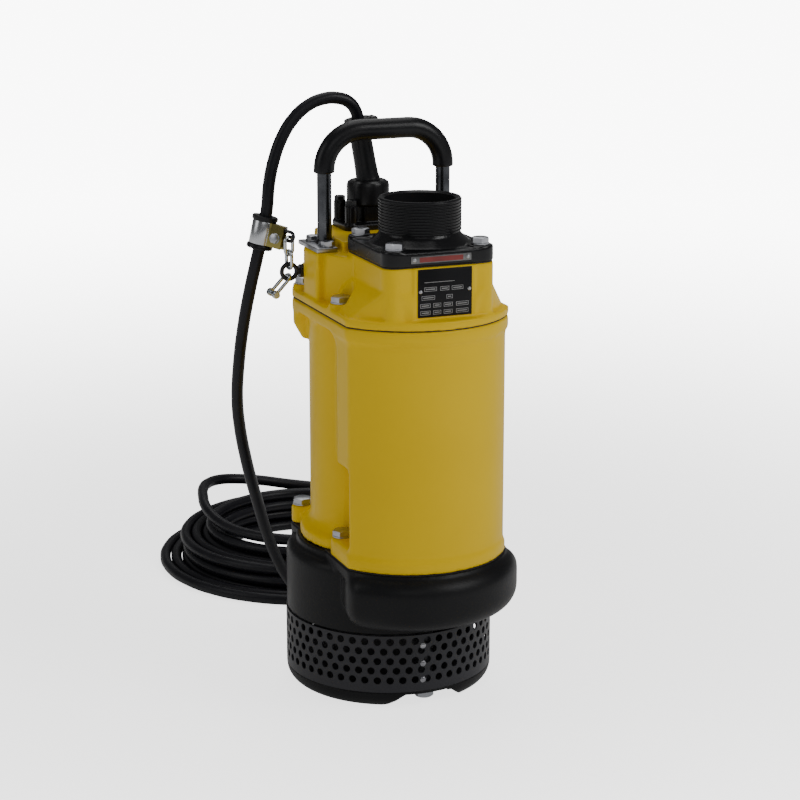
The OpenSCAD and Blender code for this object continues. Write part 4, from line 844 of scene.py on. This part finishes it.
bm = bmesh.new()
arch_bar(bm, BAR_R, BOX_TOP + 0.1)
piece("handle_bar", bm, bar_steel, "handle_steel", crease=50)
bm = bmesh.new()
for x in (-89.5, 66):
    block(bm, (x, -20, BOX_TOP), (x + 23.5, 43, FOOT_TOP))
round_edges(bm, 0.8)
piece("handle_feet", bm, zinc, "handle_steel")
bm = bmesh.new()
for x in (-LEG_X, LEG_X):
    lathe(bm, [(7.9, FOOT_TOP + 4.5), (8.7, FOOT_TOP + 3.4), (9.8, FOOT_TOP + 1.6), (10.3, FOOT_TOP),
               (10.3, BOX_TOP + 0.2), (7.9, BOX_TOP + 0.2)], (x, HANDLE_Y), sides=40, closed=True)
piece("handle_welds", bm, bar_steel, "handle_steel", "lift_handle")
bm = bmesh.new()
arch_bar(bm, GRIP_R, GRIP_END)
rims = [e for e in bm.edges if all(abs(v.co.z - GRIP_END * MM) < 1e-5 for v in e.verts)]
bmesh.ops.bevel(bm, geom=rims, offset=2.2 * MM, offset_type="OFFSET", segments=4, profile=0.5, affect="EDGES",
                material=-1)
piece("handle_sleeve", bm, moulded_rubber, "rubber", "handle_grip", crease=50)
bm = bmesh.new()
for i, (x, y) in enumerate(((-77, 31), (77, 31), (-74, -9.5), (74, -9.5))):
    bolt(bm, (x, y, FOOT_TOP), af=13, head=6, shank=4.8, length=19, washer=1.4, turn=23 * i)
piece("handle_bolt_heads", bm, zinc, "zinc_steel", "handle_bolts")

# ---------------------------------------------------------------------------
# Cable entry: a black cast body with four bolt posts and a hexagon tower, and a
# round cap that presses a bush on the cable.
POST_X = 27
POST_Y = 18
POSTS = [(x, ENTRY[1] + y) for x in (-POST_X, POST_X) for y in (-POST_Y, POST_Y)]
POST_TOP = 540
TOWER_TOP = 538
TOWER_R = 21.94
CAP_TOP = 565
solid = bmesh.new()
slab(solid, rounded(POST_X, POST_Y, 8.5, ENTRY), DECK_TOP, DECK_TOP + 7)
tower = drum(solid, TOWER_R, DECK_TOP, TOWER_TOP, ENTRY, sides=6)
bmesh.ops.rotate(solid, verts=tower, cent=Vector((*ENTRY, 0)) * MM,
                 matrix=Matrix.Rotation(radians(30), 3, "Z"))
for post in POSTS:
    drum(solid, 7, DECK_TOP, POST_TOP, post, sides=40)
hollow = bmesh.new()
drum(hollow, ENTRY_HOLE_R, 500, 550, ENTRY, sides=48)
piece("entry_casting", casting(solid, hollow, 0.9, 4), black_enamel, "black_paint", "gland_body", crease=80)
bm = bmesh.new()
lathe(bm, [(14, 538.2), (22.4, 538.2), (24, 539.8), (24, 559.6), (22.7, 563.2), (19.6, CAP_TOP),
           (13.6, CAP_TOP), (13.6, 561), (14, 560)], ENTRY, closed=True)
piece("entry_cap", bm, black_enamel, "black_paint", "gland_cap", crease=30)
bm = bmesh.new()
for x, y in POSTS:
    bolt(bm, (x, y, POST_TOP), af=11, head=6, shank=3.7, length=33, washer=1.4, turn=x + y)
piece("entry_bolt_heads", bm, black_enamel, "zinc_steel", "gland_bolts")
coat_nodes(moulded_rubber, "gland_bush")

# ---------------------------------------------------------------------------
# Cable boot: soft rubber sleeve that keeps the cable from kinking, with a clip
# round its tip.
BOOT_SEAT = Matrix.Translation(Vector((*ENTRY, CAP_TOP)) * MM)
BOOT_LEAN = 10
bm = bmesh.new()
neck = lathe(bm, [(7.35, -26), (13.1, -26), (13.1, -3), (13.5, -1.2), (13.9, 0.6), (13.5, 2.2), (12.9, 4.5),
                  (12.3, 20), (11.9, 52), (11.8, 69), (11.2, 70), (7.35, 70)], sides=64, closed=True)
for v in neck:
    # upright inside the cap, and leaning to the left above it
    lean = radians(BOOT_LEAN) * min(1, max(0, (v.co.z / MM + 3) / 6))
    v.co = BOOT_SEAT @ Matrix.Rotation(-lean, 4, "Y") @ v.co
piece("boot_sleeve", bm, moulded_rubber, "rubber", "cable_boot", crease=50)
bm = bmesh.new()
lathe(bm, [(12.15, 58), (15.2, 58), (15.5, 58.5), (15.5, 62), (15.0, 62.6), (15.0, 65.4), (15.5, 66),
           (15.5, 69.5), (15.2, 70), (12.15, 70)], sides=64, closed=True)
lug = bmesh.new()
block(lug, (12.6, -9, 60), (21, 9, 69))
round_edges(lug, 1.4)
lug_mesh = bpy.data.meshes.new("lug")
lug.to_mesh(lug_mesh)
lug.free()
bm.from_mesh(lug_mesh)
bmesh.ops.transform(bm, verts=bm.verts, matrix=BOOT_SEAT @ Matrix.Rotation(radians(-BOOT_LEAN), 4, "Y"))
piece("boot_band", bm, moulded_rubber, "black_paint", "boot_clip")

# ---------------------------------------------------------------------------
# Cable clamp: a plated strap bent round a rubber sleeve on the cable. A screw
# pinches its ears, and a wire hook in them carries the chain.
strap_zinc = paint("strap_zinc", (0.60, 0.61, 0.62), (0.46, 0.47, 0.49), 0.24, spread=0.16, patch=40,
                   grain=700, depth=0.1, metallic=1.0)
strap_chromate = paint("strap_chromate", (0.36, 0.31, 0.10), (0.24, 0.20, 0.06), 0.28, spread=0.18, patch=45,
                       grain=700, depth=0.1, metallic=1.0)
# In the clamp's own frame z runs along the cable, and x out through the ears
across = Vector((0.5705, -0.8067, -0.1554))
along = Vector((0.208, -0.0416, 0.977)).normalized()
across = (across - along * across.dot(along)).normalized()
side = along.cross(across)
CLAMP = (Matrix.Translation(Vector((-124.9, 61, 513.5)) * MM)
         @ Matrix((across, side, along)).transposed().to_4x4())
STRAP_IN = 11.05
STRAP_OUT = 13.05
EAR_IN = 2.2
EAR_OUT = 4.2
EAR_END = 29.5
bm = bmesh.new()
lathe(bm, [(7.3, -18.5), (13.6, -18.5), (14.5, -17.6), (14.5, -14.4), (13.8, -13.5), (11, -13.5), (11, 13.5),
           (13.8, 13.5), (14.5, 14.4), (14.5, 17.6), (13.6, 18.5), (7.3, 18.5)], sides=64, closed=True)
bmesh.ops.transform(bm, verts=bm.verts, matrix=CLAMP)
piece("clamp_rubber", bm, moulded_rubber, "rubber", "clamp_sleeve", crease=40)
bm = bmesh.new()
open_a = degrees(asin(EAR_IN / STRAP_IN))
slab(bm, [(EAR_END, EAR_IN), (EAR_END, EAR_OUT), (15, EAR_OUT), (13.4, 4.8)]
     + bend((0, 0), STRAP_OUT, 26, 334, 60)
     + [(13.4, -4.8), (15, -EAR_OUT), (EAR_END, -EAR_OUT), (EAR_END, -EAR_IN)]
     + bend((0, 0), STRAP_IN, 360 - open_a, open_a, 60), -13, 13)
round_edges(bm, 0.4, 2, over=50)
for face in bm.faces:
    # the ears are chromated
    face.material_index = 1 if face.calc_center_median().x > 11.8 * MM else 0
bmesh.ops.transform(bm, verts=bm.verts, matrix=CLAMP)
piece("clamp_strap", bm, (strap_zinc, strap_chromate), "clamp_steel", "clamp_band", crease=40)
bm = bmesh.new()
bolt(bm, (0, 0, EAR_OUT), af=10, head=4, shank=3, length=14.5, washer=0.8)
bolt(bm, (0, 0, -EAR_OUT), af=10, head=5, shank=3, length=0.5, under=True)
bmesh.ops.transform(bm, verts=bm.verts, matrix=CLAMP @ Matrix.Translation(Vector((21, 0, -2)) * MM)
                    @ Matrix.Rotation(pi / 2, 4, "X"))
piece("clamp_screw", bm, zinc, "zinc_steel", "clamp_bolt")

# ---------------------------------------------------------------------------
# Chain, eye bolt and shackle: a dark hook and eye, and bright plated links and
# bow that let the cable be hung from the cover.
dark_wire = paint("dark_wire", (0.045, 0.045, 0.05), (0.025, 0.025, 0.028), 0.36, patch=60, metallic=0.7)
bright_wire = paint("bright_wire", (0.66, 0.69, 0.71), (0.44, 0.48, 0.51), 0.20, spread=0.14, patch=90,
                    grain=900, depth=0.08, metallic=1.0)
coat_nodes(dark_wire, "chain_hook", "eye_bolt")
coat_nodes(bright_wire, "chain_link_upper", "chain_link_lower", "shackle_bow", "shackle_pin")

# ---------------------------------------------------------------------------
# Cable end: the sheath is cut back, and four insulated cores stand out of it.
CORE_R = 1.8
CORE_LENGTH = 26
CORE_CIRCLE = 3
for name, colour, angle in (("red", (0.42, 0.03, 0.02), 45), ("white", (0.62, 0.61, 0.58), 135),
                            ("black", (0.015, 0.015, 0.016), 225), ("green", (0.03, 0.22, 0.06), 315)):
    core = paint("core_" + name, colour, tuple(0.8 * c for c in colour), 0.42, patch=60)
    bm = bmesh.new()
    drum(bm, CORE_R, 0, CORE_LENGTH, sides=20)
    round_edges(bm, 0.4, 2)
    x, y, z = TAIL[-1]
    place = Vector((x + 0.4, y + CORE_CIRCLE * cos(radians(angle)), z + CORE_CIRCLE * sin(radians(angle))))
    bmesh.ops.transform(bm, verts=bm.verts, matrix=Matrix.Translation(place * MM)
                        @ Matrix.Rotation(pi / 2, 4, "Y"))
    piece("core_" + name, bm, core, "core_insulation", *(("cable_cores",) if name == "red" else ()))

# ---------------------------------------------------------------------------
# Motor: stacks of pressed sheets with varnished windings in the stator, and a
# ground steel shaft on two ball bearings. None of it shows from outside.
pressed_sheets = paint("pressed_sheets", (0.30, 0.31, 0.33), (0.22, 0.23, 0.25), 0.4, patch=50, metallic=0.9)
varnished_wire = paint("varnished_wire", (0.42, 0.14, 0.05), (0.30, 0.09, 0.03), 0.35, patch=50, metallic=0.4)
pale_case = paint("pale_case", (0.60, 0.57, 0.48), (0.52, 0.49, 0.41), 0.5, patch=50)
coat_nodes(pressed_sheets, "stator_core", "rotor_core")
coat_nodes(varnished_wire, "end_windings")
coat_nodes(pale_case, "motor_protector")
coat_nodes(bright_steel, "motor_shaft", "bearing_outer_rings", "bearing_inner_rings", "upper_balls",
           "lower_balls", "seal_spring")

# ---------------------------------------------------------------------------
# Pump end: a double seal of hard rings in the oil, and a cast impeller held by
# a bronze nut.
seal_carbide = paint("seal_carbide", (0.10, 0.10, 0.11), (0.16, 0.16, 0.17), 0.25, patch=60, metallic=0.6)
bare_iron = paint("bare_iron", (0.16, 0.13, 0.11), (0.10, 0.075, 0.06), 0.55, spread=0.2, patch=30, grain=300,
                  depth=0.5, metallic=0.6)
bronze = paint("bronze", (0.50, 0.33, 0.12), (0.40, 0.25, 0.09), 0.35, patch=50, metallic=1.0)
coat_nodes(seal_carbide, "seal_seats", "seal_faces")
coat_nodes(bare_iron, "impeller")
coat_nodes(bronze, "impeller_nut")
